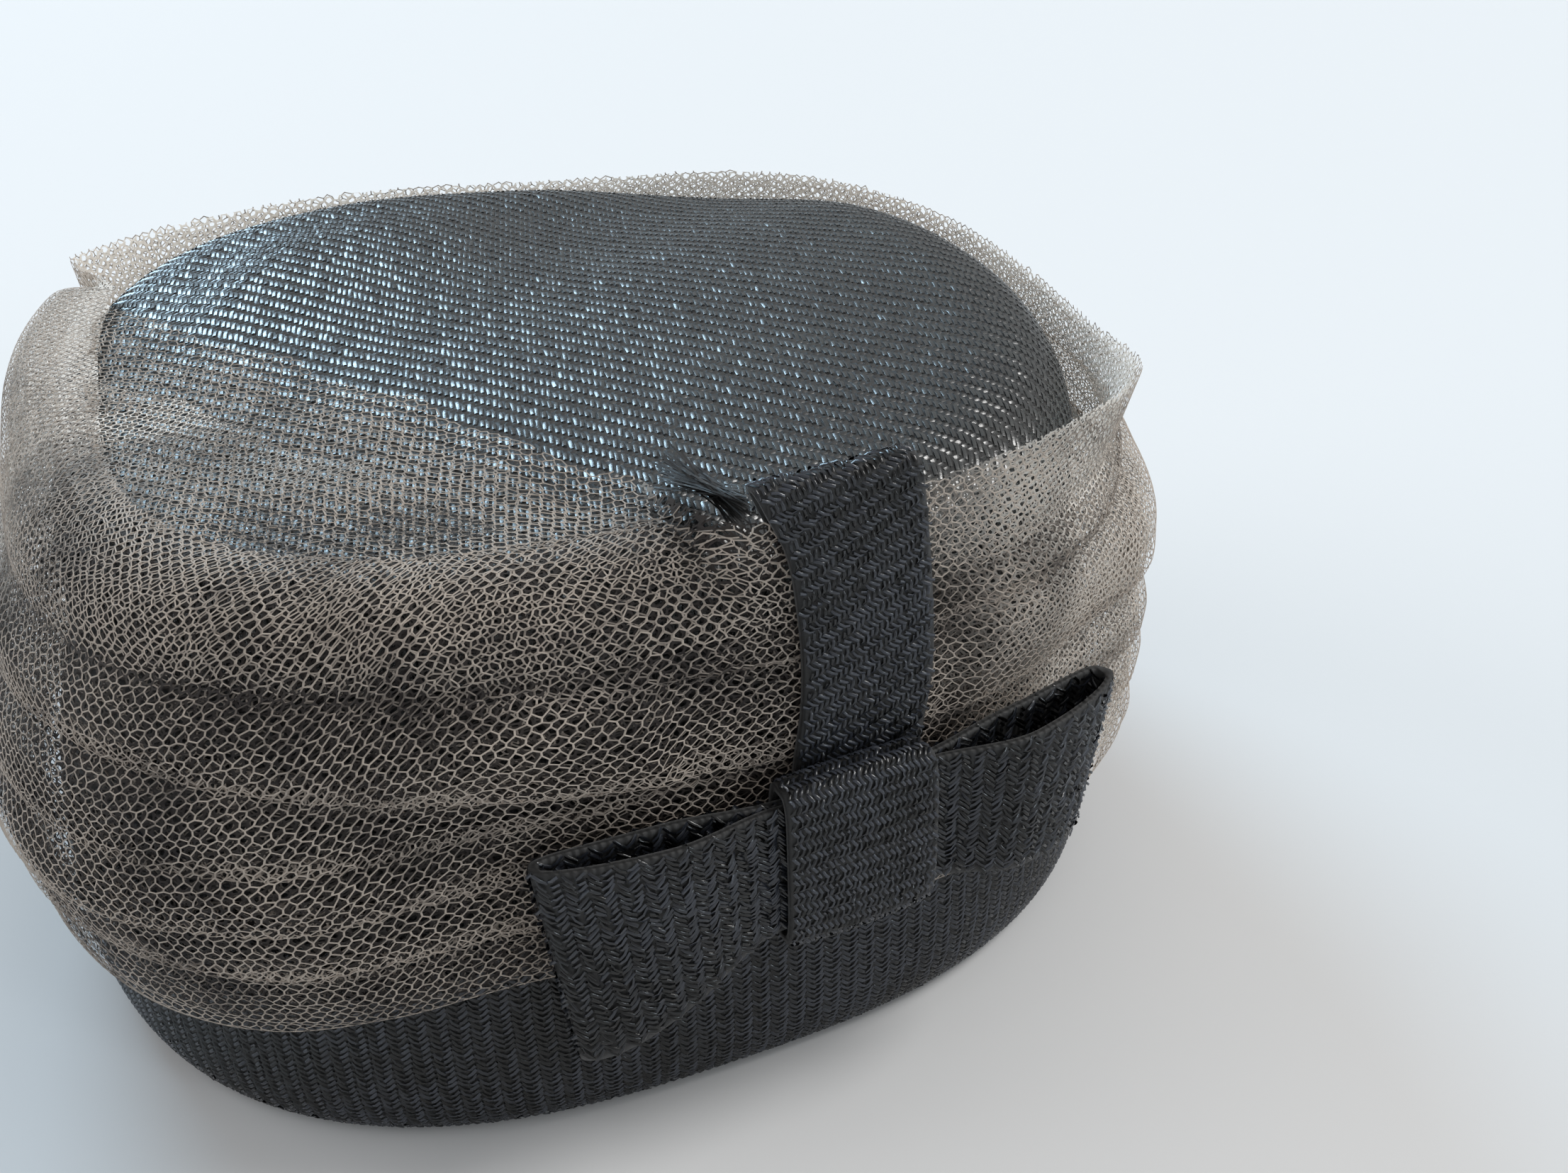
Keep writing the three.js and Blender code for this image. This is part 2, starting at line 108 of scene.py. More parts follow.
TULLE_STATIONS = [
    dict(turn=-180, hem=25, top=90, lean=4, billow=5),
    dict(turn=-150, hem=24, top=92.5, lean=4.6, billow=6),
    dict(turn=-120, hem=23, top=96, lean=4, billow=7),
    dict(turn=-90, hem=22, top=91, lean=3, billow=7),
    dict(turn=-60, hem=22.5, top=93, lean=3, billow=7),
    dict(turn=-45, hem=26.5, top=95, lean=3, billow=6),
    dict(turn=-28, hem=32, top=96, lean=3, billow=5),
    dict(turn=-10, hem=30.5, top=96, lean=2.6, billow=3),
    dict(turn=10, hem=28, top=95.5, lean=2.6, billow=3),
    dict(turn=28, hem=24.5, top=96, lean=5, billow=5),
    dict(turn=42, hem=23, top=93, lean=6, billow=5),
    dict(turn=60, hem=22.5, top=87.5, lean=2.6, billow=4.2),
    dict(turn=90, hem=23, top=87, lean=2.6, billow=4),
    dict(turn=120, hem=24, top=88, lean=3, billow=4),
    dict(turn=150, hem=25, top=86.5, lean=4, billow=5),
]
TULLE_HUG = 2.4
TULLE_STEP = 0.4  # between the points at which a layer of tulle is worked out, up its section
TULLE_SHOULDER = 80
LAP_TURN = -66
LAP_DISTANCE = 36
LAP_CLEAR = 1.5
LAP_WAVE = 1.1  # of the lapped edge, to and fro
LAP_WAVES = ((9, 0, 1), (17, 1, 0.7))  # number round the head, phase and share of each
LAP_RIPPLE = 0.7  # of the lap on the tip, up and down
LAP_REACH = 90  # from the middle of the hat, past every place on the lap
LAP_SHOULDER = 12
LAP_BACK_TURN = -141
LAP_FRONT_TURN = 6.5
LAP_FADE_FRONT = 5
LAP_FADE_BACK = 11
LAP_BEND_SHARE = 0.4
LAP_FULLNESS = 0.4  # how squarely the lap turns over the shoulder at the back left, 1 being round
LAP_FULL_START = 80
LAP_FULL_END = 110
TOP_STEPS = 60  # of the tulle's section above its shoulder
SWAGS = [
    dict(strap=76, near=80, left=78, right=76, back=72, swell=4, droop=5),
    dict(strap=64, near=71.5, left=69, right=66, back=61, swell=5.5, droop=6.5),
    dict(strap=60, near=60, left=58, right=55, back=50, swell=4.5, droop=6),
    dict(strap=52, near=53, left=46, right=44, back=40, swell=4.5, droop=6),
    dict(strap=44, near=43, left=35, right=34, back=32, swell=3.5, droop=4.5),
]
SWAG_TURNS = dict(back=-180, left=-90, near=-45, strap=-8, right=90)
PLEAT_LIP = 0.13  # where a pleat hangs lowest, as a share of the way up to the next crease
PLEAT_LEAST = 0.5  # between the layers of a pleat that is pressed flat
PLEAT_PUFF = 2.4  # how far a pleat puffs out, for each millimetre of its swell
PLEAT_FALL = 1.1  # how fast the puff falls away towards the crease above
PLEAT_UNEVEN = 0.25  # share by which a pleat's depth comes and goes round the head
CREASES_ROUND = (7, 3)  # waves of the small creases round the head
CREASES_UP = (0.9, 0.55)  # and up it, in radians to the millimetre
STRAP_PRESS = 11.5
STRAP_FADE = 9
BOW_PRESS = 28
BOW_FADE = 18
STRAP_EDGES = [
    dict(height=46, left=-4, right=7.8),
    dict(height=59, left=-3.6, right=8.8),
    dict(height=67, left=-2.8, right=9.6),
    dict(height=82, left=-2.9, right=9.4),
    dict(height=92, left=-4, right=8.8),
    dict(height=97, left=-5.4, right=8.4),
    dict(height=102, left=-6.8, right=7.8),
]
STRAP_TOP = 101
STRAP_TAIL_END = 89
KNOT = dict(offset=8.2, height=46.8, deep=3.4, tall=13.4, left=-6.4, right=6.9)
KNOT_FLATNESS = 4
ROOT_GAP = 0.8
WING_ROOT = dict(bottom=36.4, top=57, half=1.25, middle=8.2)
WINGS = dict(
    bow_wing_left=dict(side=-1, end=26.6, slant=2.2, bottom=23.5, top=57, half=3.2, middle=8.6, lean=0.5),
    bow_wing_right=dict(side=1, end=25.8, slant=2.6, bottom=33, top=58.5, half=4, middle=9.6, lean=2),
)
WING_BLUNTNESS = 0.6

# The weaves: grain of the ribs from the cloth's first direction, widths of a rib and of the rib between,
# pitch of the floats along a rib, and slant of each rib's floats from straight across it.
# The floats' lie: how each rib's floats roll over, how far a float is bent along and rounded across, and how
# much the floats differ.
TIP_LIE = dict(roll=0.12, back_roll=-0.36, bend=0.16, round=0.05, stir=0.06)
BAND_LIE = dict(roll=0, back_roll=0, bend=0.28, round=0.12, stir=0.12)
TRIM_LIE = dict(roll=0.1, back_roll=-0.1, bend=0.3, round=0.2, stir=0.3)
WEAVES = dict(
    tip=dict(grain=-57, wide=1.85, narrow=1.15, step=1.06, slant=-37, back_slant=22, **TIP_LIE),
    band=dict(grain=90, wide=1.4, narrow=1.4, step=1.0, slant=-40, back_slant=40, **BAND_LIE),
    strap=dict(grain=24, wide=1.4, narrow=1.2, step=0.82, slant=-34, back_slant=34, **TRIM_LIE),
    knot=dict(grain=90, wide=1.15, narrow=1.15, step=0.85, slant=-34, back_slant=34, **TRIM_LIE),
    wing=dict(grain=90, wide=1.6, narrow=1.6, step=1.0, slant=-42, back_slant=42, **TRIM_LIE),
)
WEAVE_SLIP = dict(along=0.04, across=0.03, slant=0.05)  # of single floats: shares of pitch and width, radians
FLOAT_SHADE = 0.55  # how much single floats differ in shade
RIB_PAINTED_SHEEN = 0.45  # how much paler every other rib is painted: a painted sheen for the ribs that catch the light
BARE_BAND = (1.2, 40)  # where on the band its floats are woven, up from the rim's inner edge
TIP_MARGIN = 0.6  # of the tip's cloth at its seam, left without floats
LOOP_MARGIN = 0.2  # the same for the edges of the strap and bow
STRAP_MARGIN = 1  # and for the strap's two ends

# Raw ends of the strap: where the loose fibres start, which way they lie, how far, how much they spread.
FRAYED_ENDS = [
    dict(first=(-8, -83, 97.6), last=(-5, -75, 94), lie=(-0.2, 1, -0.27), length=17, spread=0.06, count=150),
    dict(first=(13, -82, 97), last=(15, -84, 96), lie=(0.9, 0.6, 0.1), length=5, spread=0.35, count=14),
]
FRAY_LENGTHS = (0.5, 1.0)  # shortest and longest of the fibres, as shares of the length
FRAY_WIDTHS = (0.2, 0.4)
FRAY_ROLL = 0.2
FRAY_BEND = 0.2

# The tulle's layers: how far its hem and pleats are moved up, share of the pleats' depth, height of the small
# creases, how far out it lies, and how much shorter its standing edge and its lap are.
TULLE_LAYERS = dict(
    outer=dict(hem=0, shift=0, depth=1, crease=0.35, inset=0.1, short=0, lap=0),
    under=dict(hem=1.2, shift=-5, depth=0.35, crease=0.3, inset=-0.5, short=1.5, lap=6),
    veil=dict(hem=1, shift=-2, depth=0.2, crease=0.2, inset=-1, short=1, lap=18),
)

# Folds of the net behind the outer layer: how far in they lie, the side on which the net behind is painted
# darkest, as painted shade and as thinner net, and how far out on that side the darkening starts and is full.
FOLD_INSETS = (0.5, 1.0)
SHADED_SIDE = (-0.57, -0.82, 0)
SHADED_SIDE_START = 40
SHADED_SIDE_FULL = 70

# The net: thickness of a cell's twisted upright side over a plain one's, length of a thread over its side of
# the cell, and how much of a thread's shade is its own random tone and how much is painted shade and light
# from
# its place on a pleat: darker towards the creases, paler where the pleat puffs out.
TWISTED_SIDE = 1.35
THREAD_OVERLAP = 1.12
THREAD_SHADE = 0.4
PLEAT_PAINTED_SHADE = 0.6
HEM_RISE = 0.3  # of the threads along the hem, above the cloth's lower edge
EDGE_PITCH = 1.1
EDGE_HALF = 0.6  # of a thread along an edge, so that each laps the next
FILM_CELL = (0.75, 1.35)  # cells of a sheet of net behind, over the outer net's
FILM_THREADS = dict(tulle_fold=0.18, tulle_film=0.14)  # how far in from its edge a sheet's cell is thread

# The net's pieces in each layer, as shares of the way round from the back.
NET_SPANS = dict(
    outer=dict(tulle_net_left=(0, 0.3), tulle_net_front=(0.3, 0.62), tulle_net_right=(0.62, 1)),
    under=dict(tulle_under_left=(0, 0.5), tulle_under_right=(0.5, 1)),
)

# Widths of the patterns in the materials, in millimetres.
FIBRE_STREAK = 0.3125  # coarser than real straw's, so that it shows
FIBRE_PATCH = 26.32
GROUND_RIB = 1.083
GROUND_GRAIN = 1.111
TULLE_PATCH = 16.67
TULLE_SLACK = 2.381
PAPER_GRAIN = 1.111
WAVE_LENGTH = math.pi / 10  # of a wave texture, at a scale of 1

TULLE_GLOW = 0.25  # share of the light that a thread passes on from behind

# Soft distant lights: name, where it shines from, how wide it looks, strength and colour.
LIGHTS = [
    ("window", (-0.02, 0.86, 0.5), 26, 2.1, (0.55, 0.8, 1.0)),
    ("side", (0.7, -0.3, 0.85), 22, 1.6, (1.0, 0.99, 0.97)),
    ("window_left", (-0.8, 0.6, 0.3), 50, 1.3, (0.95, 0.97, 1.0)),
    ("front", (0.4, -0.85, 0.3), 12, 0.4, (0.8, 0.91, 1.0)),
]
ROOM_BRIGHT_SIDE = (0.35, -0.45, 0.8)
ROOM_DIM, ROOM_BRIGHT = 0.15, 0.7

# The photograph's camera in the hat's frame: millimetres and degrees.
CAMERA_TARGET = (35.16, -18.37, 38.51)
CAMERA_AZIMUTH = -30.68
CAMERA_ELEVATION = 30.73
CAMERA_ROLL = -1.52
CAMERA_DISTANCE = 305.2
CAMERA_LENS = 39.05


def linear(code):
    """Linear RGB of an sRGB hex value."""
    channels = [int(code[i : i + 2], 16) / 255 for i in (0, 2, 4)]
    return tuple(c / 12.92 if c <= 0.04045 else ((c + 0.055) / 1.055) ** 2.4 for c in channels)


def pattern_scale(width):
    """Scale of a texture whose marks are this many millimetres wide."""
    return 1 / (width * MM)


def smoothstep(value, low, high):
    t = np.clip((np.asarray(value, float) - low) / (high - low), 0, 1)
    return t * t * (3 - 2 * t)


def mix(a, b, share):
    return a + (b - a) * share


def curve_of(rows, key, column):
    """A smooth curve through one column of a table, as a function of its key."""
    x = np.array([row[key] for row in rows], float)
    y = np.array([row[column] for row in rows], float)
    slope = np.gradient(y, x)

    def at(value):
        value = np.clip(value, x[0], x[-1])
        i = np.clip(np.searchsorted(x, value) - 1, 0, len(x) - 2)
        span = x[i + 1] - x[i]
        t = (value - x[i]) / span
        rise = y[i] * (1 - t) ** 2 * (1 + 2 * t) + y[i + 1] * t**2 * (3 - 2 * t)
        return rise + span * (slope[i] * t * (1 - t) ** 2 - slope[i + 1] * t**2 * (1 - t))

    return at


def curve_around(rows, column):
    """The same for a table that runs once round the head."""
    turned = [dict(row, turn=row["turn"] + by) for by in (-360, 0, 360) for row in rows]
    return curve_of(turned, "turn", column)


crown_lean = curve_around(CROWN_STATIONS, "lean")
crown_rise = curve_around(CROWN_STATIONS, "rise")
tulle_hem = curve_around(TULLE_STATIONS, "hem")
tulle_top = curve_around(TULLE_STATIONS, "top")
tulle_lean = curve_around(TULLE_STATIONS, "lean")
tulle_billow = curve_around(TULLE_STATIONS, "billow")
strap_left = curve_of(STRAP_EDGES, "height", "left")
strap_right = curve_of(STRAP_EDGES, "height", "right")
swag_heights = [
    curve_around([dict(turn=turn, height=swag[key]) for key, turn in SWAG_TURNS.items()], "height")
    for swag in SWAGS
]


def all_round(steps):
    """Turns once round the head, from the back to the back."""
    return np.linspace(-180, 180, steps + 1)


def plan_radius(turn):
    angle = np.radians(turn - PLAN_TURN)
    across = np.abs(np.sin(angle)) / math.sqrt(PLAN_STRETCH)
    along = np.abs(np.cos(angle)) * math.sqrt(PLAN_STRETCH)
    return HEAD_RADIUS * (across**PLAN_SQUARENESS + along**PLAN_SQUARENESS) ** (-1 / PLAN_SQUARENESS)


def crown_radius(turn, height):
    return plan_radius(turn) - crown_lean(turn) * smoothstep(height, LEAN_START, LEAN_FULL)


def point_at(turn, radius, height):
    """Points in the frame, in metres, from turns, radii and heights."""
    angle = np.radians(turn)
    x, y, z = np.broadcast_arrays(radius * np.sin(angle), -radius * np.cos(angle), height)
    return (np.stack([x, y, z], -1) - MIDDLE) * MM


def on_head(turn, offset, height):
    return point_at(turn, crown_radius(turn, height) + offset, height)


def spline(rows, steps):
    """Smooth run through a profile table, as offsets and heights."""
    points = np.array([[row["offset"], row["height"]] for row in rows], float)
    padded = np.concatenate([points[:1], points, points[-1:]])
    t = np.linspace(0, len(points) - 1, steps + 1)
    i = np.minimum(t.astype(int), len(points) - 2)
    t = (t - i)[:, None]
    a, b, c, d = (padded[i + k] for k in range(4))
    out = (c - a) / 2
    into = (d - b) / 2
    between = b * (1 + 2 * t) * (1 - t) ** 2 + c * t * t * (3 - 2 * t)
    return between + out * t * (1 - t) ** 2 - into * t * t * (1 - t)


def moved_in(profile, wall):
    """A profile moved to the inside of its wall."""
    along = np.gradient(profile, axis=0)
    along /= np.linalg.norm(along, axis=1)[:, None]
    return profile + np.stack([-along[:, 1], along[:, 0]], 1) * np.reshape(wall, (-1, 1))


def tip_height(turn, radius):
    """Height of the tip's outside, in from its shoulder."""
    end = SHOULDER_PROFILE[-1]
    angle = np.radians(turn)
    x = radius * np.sin(angle)
    y = -radius * np.cos(angle)
    lobes = 0
    for lobe in TIP_LOBES:
        c, s = math.cos(math.radians(lobe["turn"])), math.sin(math.radians(lobe["turn"]))
        along = ((x - lobe["x"]) * c + (y - lobe["y"]) * s) / lobe["along"]
        across = ((y - lobe["y"]) * c - (x - lobe["x"]) * s) / lobe["across"]
        lobes = lobes + lobe["rise"] * np.exp(-(along**2) - across**2)
    share = np.clip(radius / (crown_radius(turn, SEAM_HEIGHT) + end["offset"]), 0, 1)
    inward = 1 - share * share
    dome = end["height"] + crown_rise(turn) * share**2 + DOME_RISE * inward
    return dome + lobes * smoothstep(inward, 0, LOBE_FADE)


def press_at(turn, height):
    """Share by which the strap and bow press the tulle flat."""
    strap = 1 - smoothstep(np.abs(turn), STRAP_PRESS, STRAP_PRESS + STRAP_FADE)
    beside = 1 - smoothstep(np.abs(turn), BOW_PRESS, BOW_PRESS + BOW_FADE)
    top = KNOT["height"] + KNOT["tall"]
    return np.maximum(strap, beside * (1 - smoothstep(height, top, top + BOW_FADE)))


class Cloth:
    """A cloth surface that is read by its own flat coordinates, in millimetres."""

    def __init__(self, xs, ys, points, wraps=False):
        self.xs, self.ys, self.points, self.wraps = xs, ys, points, wraps

    def at(self, x, y):
        """Values of the grid of points, between its rows and columns."""
        if self.wraps:
            x = np.mod(x, self.xs[-1])
        i = np.clip(np.searchsorted(self.xs, x) - 1, 0, len(self.xs) - 2)
        j = np.clip(np.searchsorted(self.ys, y) - 1, 0, len(self.ys) - 2)
        s = ((x - self.xs[i]) / (self.xs[i + 1] - self.xs[i]))[:, None]
        t = ((y - self.ys[j]) / (self.ys[j + 1] - self.ys[j]))[:, None]
        p = self.points
        low = p[i, j] * (1 - s) + p[i + 1, j] * s
        high = p[i, j + 1] * (1 - s) + p[i + 1, j + 1] * s
        return low * (1 - t) + high * t

    def lie(self, x, y, reach=0.6):
        """Points with the two directions along the cloth and the one out of it."""
        across = unit(self.at(x + reach, y) - self.at(x - reach, y))
        along = unit(self.at(x, y + reach) - self.at(x, y - reach))
        return self.at(x, y), across, along, unit(np.cross(across, along))


def unit(vectors):
    return vectors / np.maximum(np.linalg.norm(vectors, axis=-1, keepdims=True), 1e-12)


def run_length(points):
    """Distance along rows of points, in millimetres, from the first."""
    steps = np.linalg.norm(np.diff(points, axis=-2), axis=-1) / MM
    return np.concatenate([np.zeros(steps.shape[:-1] + (1,)), np.cumsum(steps, -1)], -1)


def closed(points):
    return np.concatenate([points, points[:1]])


def tip_cloth():
    """The tip as a flat disc of cloth laid over the dome and turned down to the seam."""
    turns = all_round(360)
    shoulder = spline(SHOULDER_PROFILE, 24)[::-1]
    shares = np.linspace(0, 1, 61)[:-1]
    edge = crown_radius(turns, SEAM_HEIGHT) + SHOULDER_PROFILE[-1]["offset"]
    inner = edge[:, None] * shares
    heights = tip_height(turns[:, None], inner)
    rise = smoothstep(shoulder[:, 1], SEAM_HEIGHT + 1, SHOULDER_PROFILE[-1]["height"] - 1)
    outer = crown_radius(turns, SEAM_HEIGHT)[:, None] + shoulder[:, 0]
    radius = np.concatenate([inner, outer], 1)
    height = np.concatenate([heights, shoulder[:, 1] + crown_rise(turns)[:, None] * rise], 1)
    lengths = run_length(np.stack([radius, height], -1) * MM)
    reach = np.linspace(0, lengths[:, -1].max(), 240)
    radii = np.stack([np.interp(reach, run, r) for run, r in zip(lengths, radius)])
    rises = np.stack([np.interp(reach, run, h) for run, h in zip(lengths, height)])
    polar = Cloth(turns, reach, np.stack([radii, rises, radii * 0], -1))
    xs = np.linspace(-reach[-1], reach[-1], 281)
    x, y = (g.ravel() for g in np.meshgrid(xs, xs, indexing="ij"))
    turn = np.degrees(np.arctan2(x, -y))
    found = polar.at(turn, np.minimum(np.hypot(x, y), reach[-1] - 1e-6))
    points = point_at(turn, found[:, 0], found[:, 1]).reshape(len(xs), len(xs), 3)
    limit = curve_of([dict(turn=t, reach=r) for t, r in zip(turns, lengths[:, -1])], "turn", "reach")
    return Cloth(xs, xs, points), limit


def band_cloth():
    """The side band from the inner edge of its rim to the seam."""
    turns = all_round(360)
    profile = spline(BAND_PROFILE, 80)
    points = on_head(turns[:, None], profile[:, 0], profile[:, 1])
    return Cloth(run_length(points[:, 16]), run_length(points[180]), points, wraps=True)


def tulle_sections(turns, layer):
    """Sections of a layer of tulle from hem to shoulder: radii, heights and how far its pleats puff out."""
    t = turns[:, None]
    hem = tulle_hem(t) + layer["hem"]
    levels = [level(t) + layer["shift"] for level in reversed(swag_heights)]
    creases = [hem, *levels, hem * 0 + TULLE_SHOULDER]
    up = np.linspace(0, 1, 49)
    lip = up / PLEAT_LIP * np.exp(1 - up / PLEAT_LIP)
    puff = PLEAT_PUFF * np.sqrt(up) * (1 - up) ** PLEAT_FALL
    radii, heights, reliefs = [], [], []
    for i in range(len(creases) - 1):
        low = creases[i]
        high = np.minimum(np.maximum(creases[i + 1], low + 2), TULLE_SHOULDER)
        height = mix(low, high, up)
        press = press_at(t, height)
        swag = SWAGS[len(SWAGS) - max(i, 1)]
        uneven = np.sin(np.radians(t * (1 + i % 2) + 95 * i + layer["shift"] * 60))
        strength = 1 - PLEAT_UNEVEN + PLEAT_UNEVEN * uneven
        room = smoothstep(high - low, 2, 8) * layer["depth"] * strength
        swell = puff * mix(swag["swell"] * room, PLEAT_LEAST * layer["depth"], press)
        rising = np.sin(np.radians(t * CREASES_ROUND[0]) + height * CREASES_UP[0])
        fine = rising * np.sin(height * CREASES_UP[1] - np.radians(t * CREASES_ROUND[1]))
        share = np.clip((height - hem) / (TULLE_SHOULDER - hem), 0, 1)
        billow = tulle_billow(t) * np.sin(np.pi * share)
        loose = (billow + layer["crease"] * fine) * (1 - press)
        radii.append((crown_radius(t, height) + TULLE_HUG + layer["inset"] + loose + swell)[:, 1:])
        heights.append((height - lip * swag["droop"] * room * min(i, 1))[:, 1:])
        reliefs.append((puff * room * np.ones_like(height))[:, 1:])
    return [np.concatenate(columns, 1) for columns in (radii, heights, reliefs)]


def lap_share(turn):
    """Share of the way in which the tulle's top edge is lapped over the tip."""
    front = smoothstep(-turn, LAP_FRONT_TURN, LAP_FRONT_TURN + LAP_FADE_FRONT)
    return front * smoothstep(turn, LAP_BACK_TURN, LAP_BACK_TURN + LAP_FADE_BACK)


def lap_radii(turn, layer):
    """Radii between which the lapped tulle lies on the tip."""
    from_chord = np.maximum(np.cos(np.radians(turn - LAP_TURN)), 0.1)
    level = crown_radius(turn, SEAM_HEIGHT) - LAP_SHOULDER
    away = np.radians(turn)
    waves = sum(share * np.sin(number * away + phase + layer["lap"]) for number, phase, share in LAP_WAVES)
    return np.minimum((LAP_DISTANCE + layer["lap"] + LAP_WAVE * waves) / from_chord, level), level


def tulle_tops(turns, layer, radius, height):
    """The tulle above the side: standing free, or lapped over the shoulder and lying on the tip."""
    t = turns[:, None]
    share = np.linspace(0, 1, TOP_STEPS + 1)[1:]
    seam = crown_radius(t, SEAM_HEIGHT)
    stand_radius = mix(radius, seam + tulle_lean(t) + layer["inset"], share)
    stand_height = mix(height, tulle_top(t) - layer["short"], share)
    lap_end, level = lap_radii(t, layer)
    level_height = tip_height(t, level) + LAP_CLEAR
    bend = np.minimum(share / LAP_BEND_SHARE, 1) * math.pi / 2
    inward = np.clip((share - LAP_BEND_SHARE) / (1 - LAP_BEND_SHARE), 0, 1)
    full = mix(1, LAP_FULLNESS, smoothstep(-t, LAP_FULL_START, LAP_FULL_END))
    turning = level + (radius - level) * np.cos(bend) ** full
    lap_radius = np.where(inward > 0, mix(level, lap_end, inward), turning)
    on_tip = tip_height(t, np.minimum(lap_radius, level)) + LAP_CLEAR
    lap_height = np.where(inward > 0, on_tip, height + (level_height - height) * np.sin(bend) ** full)
    lapped = lap_share(t)
    return mix(stand_radius, lap_radius, lapped), mix(stand_height, lap_height, lapped)


def tulle_cloth(layer):
    """A layer of tulle, with its sections' lengths, in all and up to the tip, and its pleats' relief."""
    turns = all_round(720)
    radius, height, relief = tulle_sections(turns, layer)
    top_radius, top_height = tulle_tops(turns, layer, radius[:, -1:], height[:, -1:])
    bent = radius.shape[1] + round(TOP_STEPS * LAP_BEND_SHARE) - 1
    radius = np.concatenate([radius, top_radius], 1)
    height = np.concatenate([height, top_height], 1)
    lengths = run_length(np.stack([radius, height], -1) * MM)
    reach = np.arange(0, lengths[:, -1].max() + TULLE_STEP, TULLE_STEP)
    radii = np.stack([np.interp(reach, run, r) for run, r in zip(lengths, radius)])
    heights = np.stack([np.interp(reach, run, h) for run, h in zip(lengths, height)])
    side_lengths = lengths[:, : relief.shape[1]]
    reliefs = np.stack([np.interp(reach, run, r, right=0.5) for run, r in zip(side_lengths, relief)])
    points = point_at(turns[:, None], radii, heights)
    around = run_length(points[:, 60])
    sides = np.where(lap_share(turns) > 0.99, lengths[:, bent] + 1, lengths[:, -1])
    cloth = Cloth(around, reach, points, wraps=True)
    folds = Cloth(around, reach, reliefs[:, :, None], wraps=True)
    return cloth, lengths[:, -1], sides, folds


def lap_cloth(layer):
    """The part of a layer that lies on the tip, by its coordinates in plan from the chord of its edge."""
    xs = np.linspace(-100, 100, 201)
    x, y = (g.ravel() for g in np.meshgrid(xs, xs, indexing="ij"))
    turn, radius = lap_place(x, y)
    ripple = LAP_RIPPLE * np.sin(x * 0.23 + 0.8 * np.sin(y * 0.21)) * np.sin(y * 0.19)
    level = lap_radii(turn, layer)[1]
    height = tip_height(turn, np.minimum(radius, level)) + LAP_CLEAR + layer["inset"] + ripple
    return Cloth(xs, xs, point_at(turn, radius, height).reshape(len(xs), len(xs), 3))


def lap_place(x, y):
    """Turn and radius of a place on the lap, from its coordinates along and away from its edge."""
    turn = LAP_TURN + np.degrees(np.arctan2(x, y))
    return np.mod(turn + 180, 360) - 180, np.hypot(x, y)


def on_lap(x, y, layer):
    turn, radius = lap_place(x, y)
    end, level = lap_radii(turn, layer)
    return (lap_share(turn) > 0.99) & (radius > end) & (radius < level + 1)


def strap_cloth(reach):
    """The strap from behind the knot, up the tulle, over its edge and down behind it."""
    gap = TULLE_WALL / 2 + SEAM_GAP
    outer = gap + TRIM_WALL
    lean = float(tulle_lean(0.0))
    crest = STRAP_TOP - outer
    up = np.linspace(STRAP_EDGES[0]["height"], crest, 60)
    over = np.linspace(0, math.pi, 24)[1:]
    down = np.linspace(crest, STRAP_TAIL_END, 16)[1:]
    rest = mix(TULLE_HUG, lean, smoothstep(up, TULLE_SHOULDER, crest))
    offset = np.concatenate([rest + reach, lean + reach * np.cos(over), down * 0 + lean - reach])
    height = np.concatenate([up, crest + reach * np.sin(over), down])
    across = np.linspace(0, 1, 13)[:, None]
    turn = mix(strap_left(height), strap_right(height), across)
    points = on_head(turn, offset, height)
    return Cloth(run_length(points[:, 30]), run_length(points[6]), points)


def knot_cloth(inset):
    """The knot's band, closed round the roots of the wings."""
    angle = np.linspace(0, -2 * math.pi, 121)
    rounded = [np.sign(v) * np.abs(v) ** (2 / KNOT_FLATNESS) for v in (np.cos(angle), np.sin(angle))]
    across = np.linspace(0, 1, 13)
    pinch = 0.5 * (2 * across - 1) ** 2
    offset = KNOT["offset"] + (KNOT["deep"] - inset) * rounded[0][:, None]
    height = KNOT["height"] + (KNOT["tall"] - inset - pinch) * rounded[1][:, None]
    points = on_head(mix(KNOT["left"], KNOT["right"], across), offset, height)
    return Cloth(run_length(points[:, 6]), run_length(points[0]), points, wraps=True)


def wing_cloth(wing, inset):
    """A wing's loop, pinched at its root in the knot."""
    turn_per_mm = math.degrees(1 / HEAD_RADIUS)
    angle = wing["side"] * np.linspace(0, 2 * math.pi, 145)[:, None]
    near = (ROOT_GAP / 2 + inset) * turn_per_mm
    far = wing["end"] - inset * turn_per_mm
    turn = mix(near, far, (1 - np.cos(angle)) / 2)
    out = smoothstep(turn, KNOT["right"] - 1, wing["end"])
    wide = smoothstep(turn, KNOT["right"], KNOT["right"] + 9)
    half = mix(WING_ROOT["half"], wing["half"], wide) - inset
    bulge = half * np.sign(np.sin(angle)) * np.abs(np.sin(angle)) ** WING_BLUNTNESS
    middle = mix(WING_ROOT["middle"], wing["middle"], wide)
    rise = np.linspace(0, 1, 25)
    height = mix(mix(WING_ROOT["bottom"], wing["bottom"], out), mix(WING_ROOT["top"], wing["top"], out), rise)
    slanted = turn - wing["slant"] * out * (1 - rise)
    points = on_head(wing["side"] * slanted, middle + bulge + wing["lean"] * out * rise, height)
    return Cloth(run_length(points[:, 12]), run_length(points[72]), points, wraps=True)


def new_object(name, mesh, material):
    piece = bpy.data.objects.new(name, mesh)
    bpy.context.scene.collection.objects.link(piece)
    if material and not mesh.materials:
        mesh.materials.append(material)
    return piece


def grid_mesh(name, points):
    """A smooth sheet through a grid of points."""
    rows, columns = points.shape[:2]
    index = np.arange(rows * columns).reshape(rows, columns)
    quads = np.stack([index[:-1, :-1], index[1:, :-1], index[1:, 1:], index[:-1, 1:]], -1).reshape(-1, 4)
    mesh = bpy.data.meshes.new(name)
    mesh.from_pydata(points.reshape(-1, 3).tolist(), [], quads.tolist())
    mesh.shade_smooth()
    return mesh


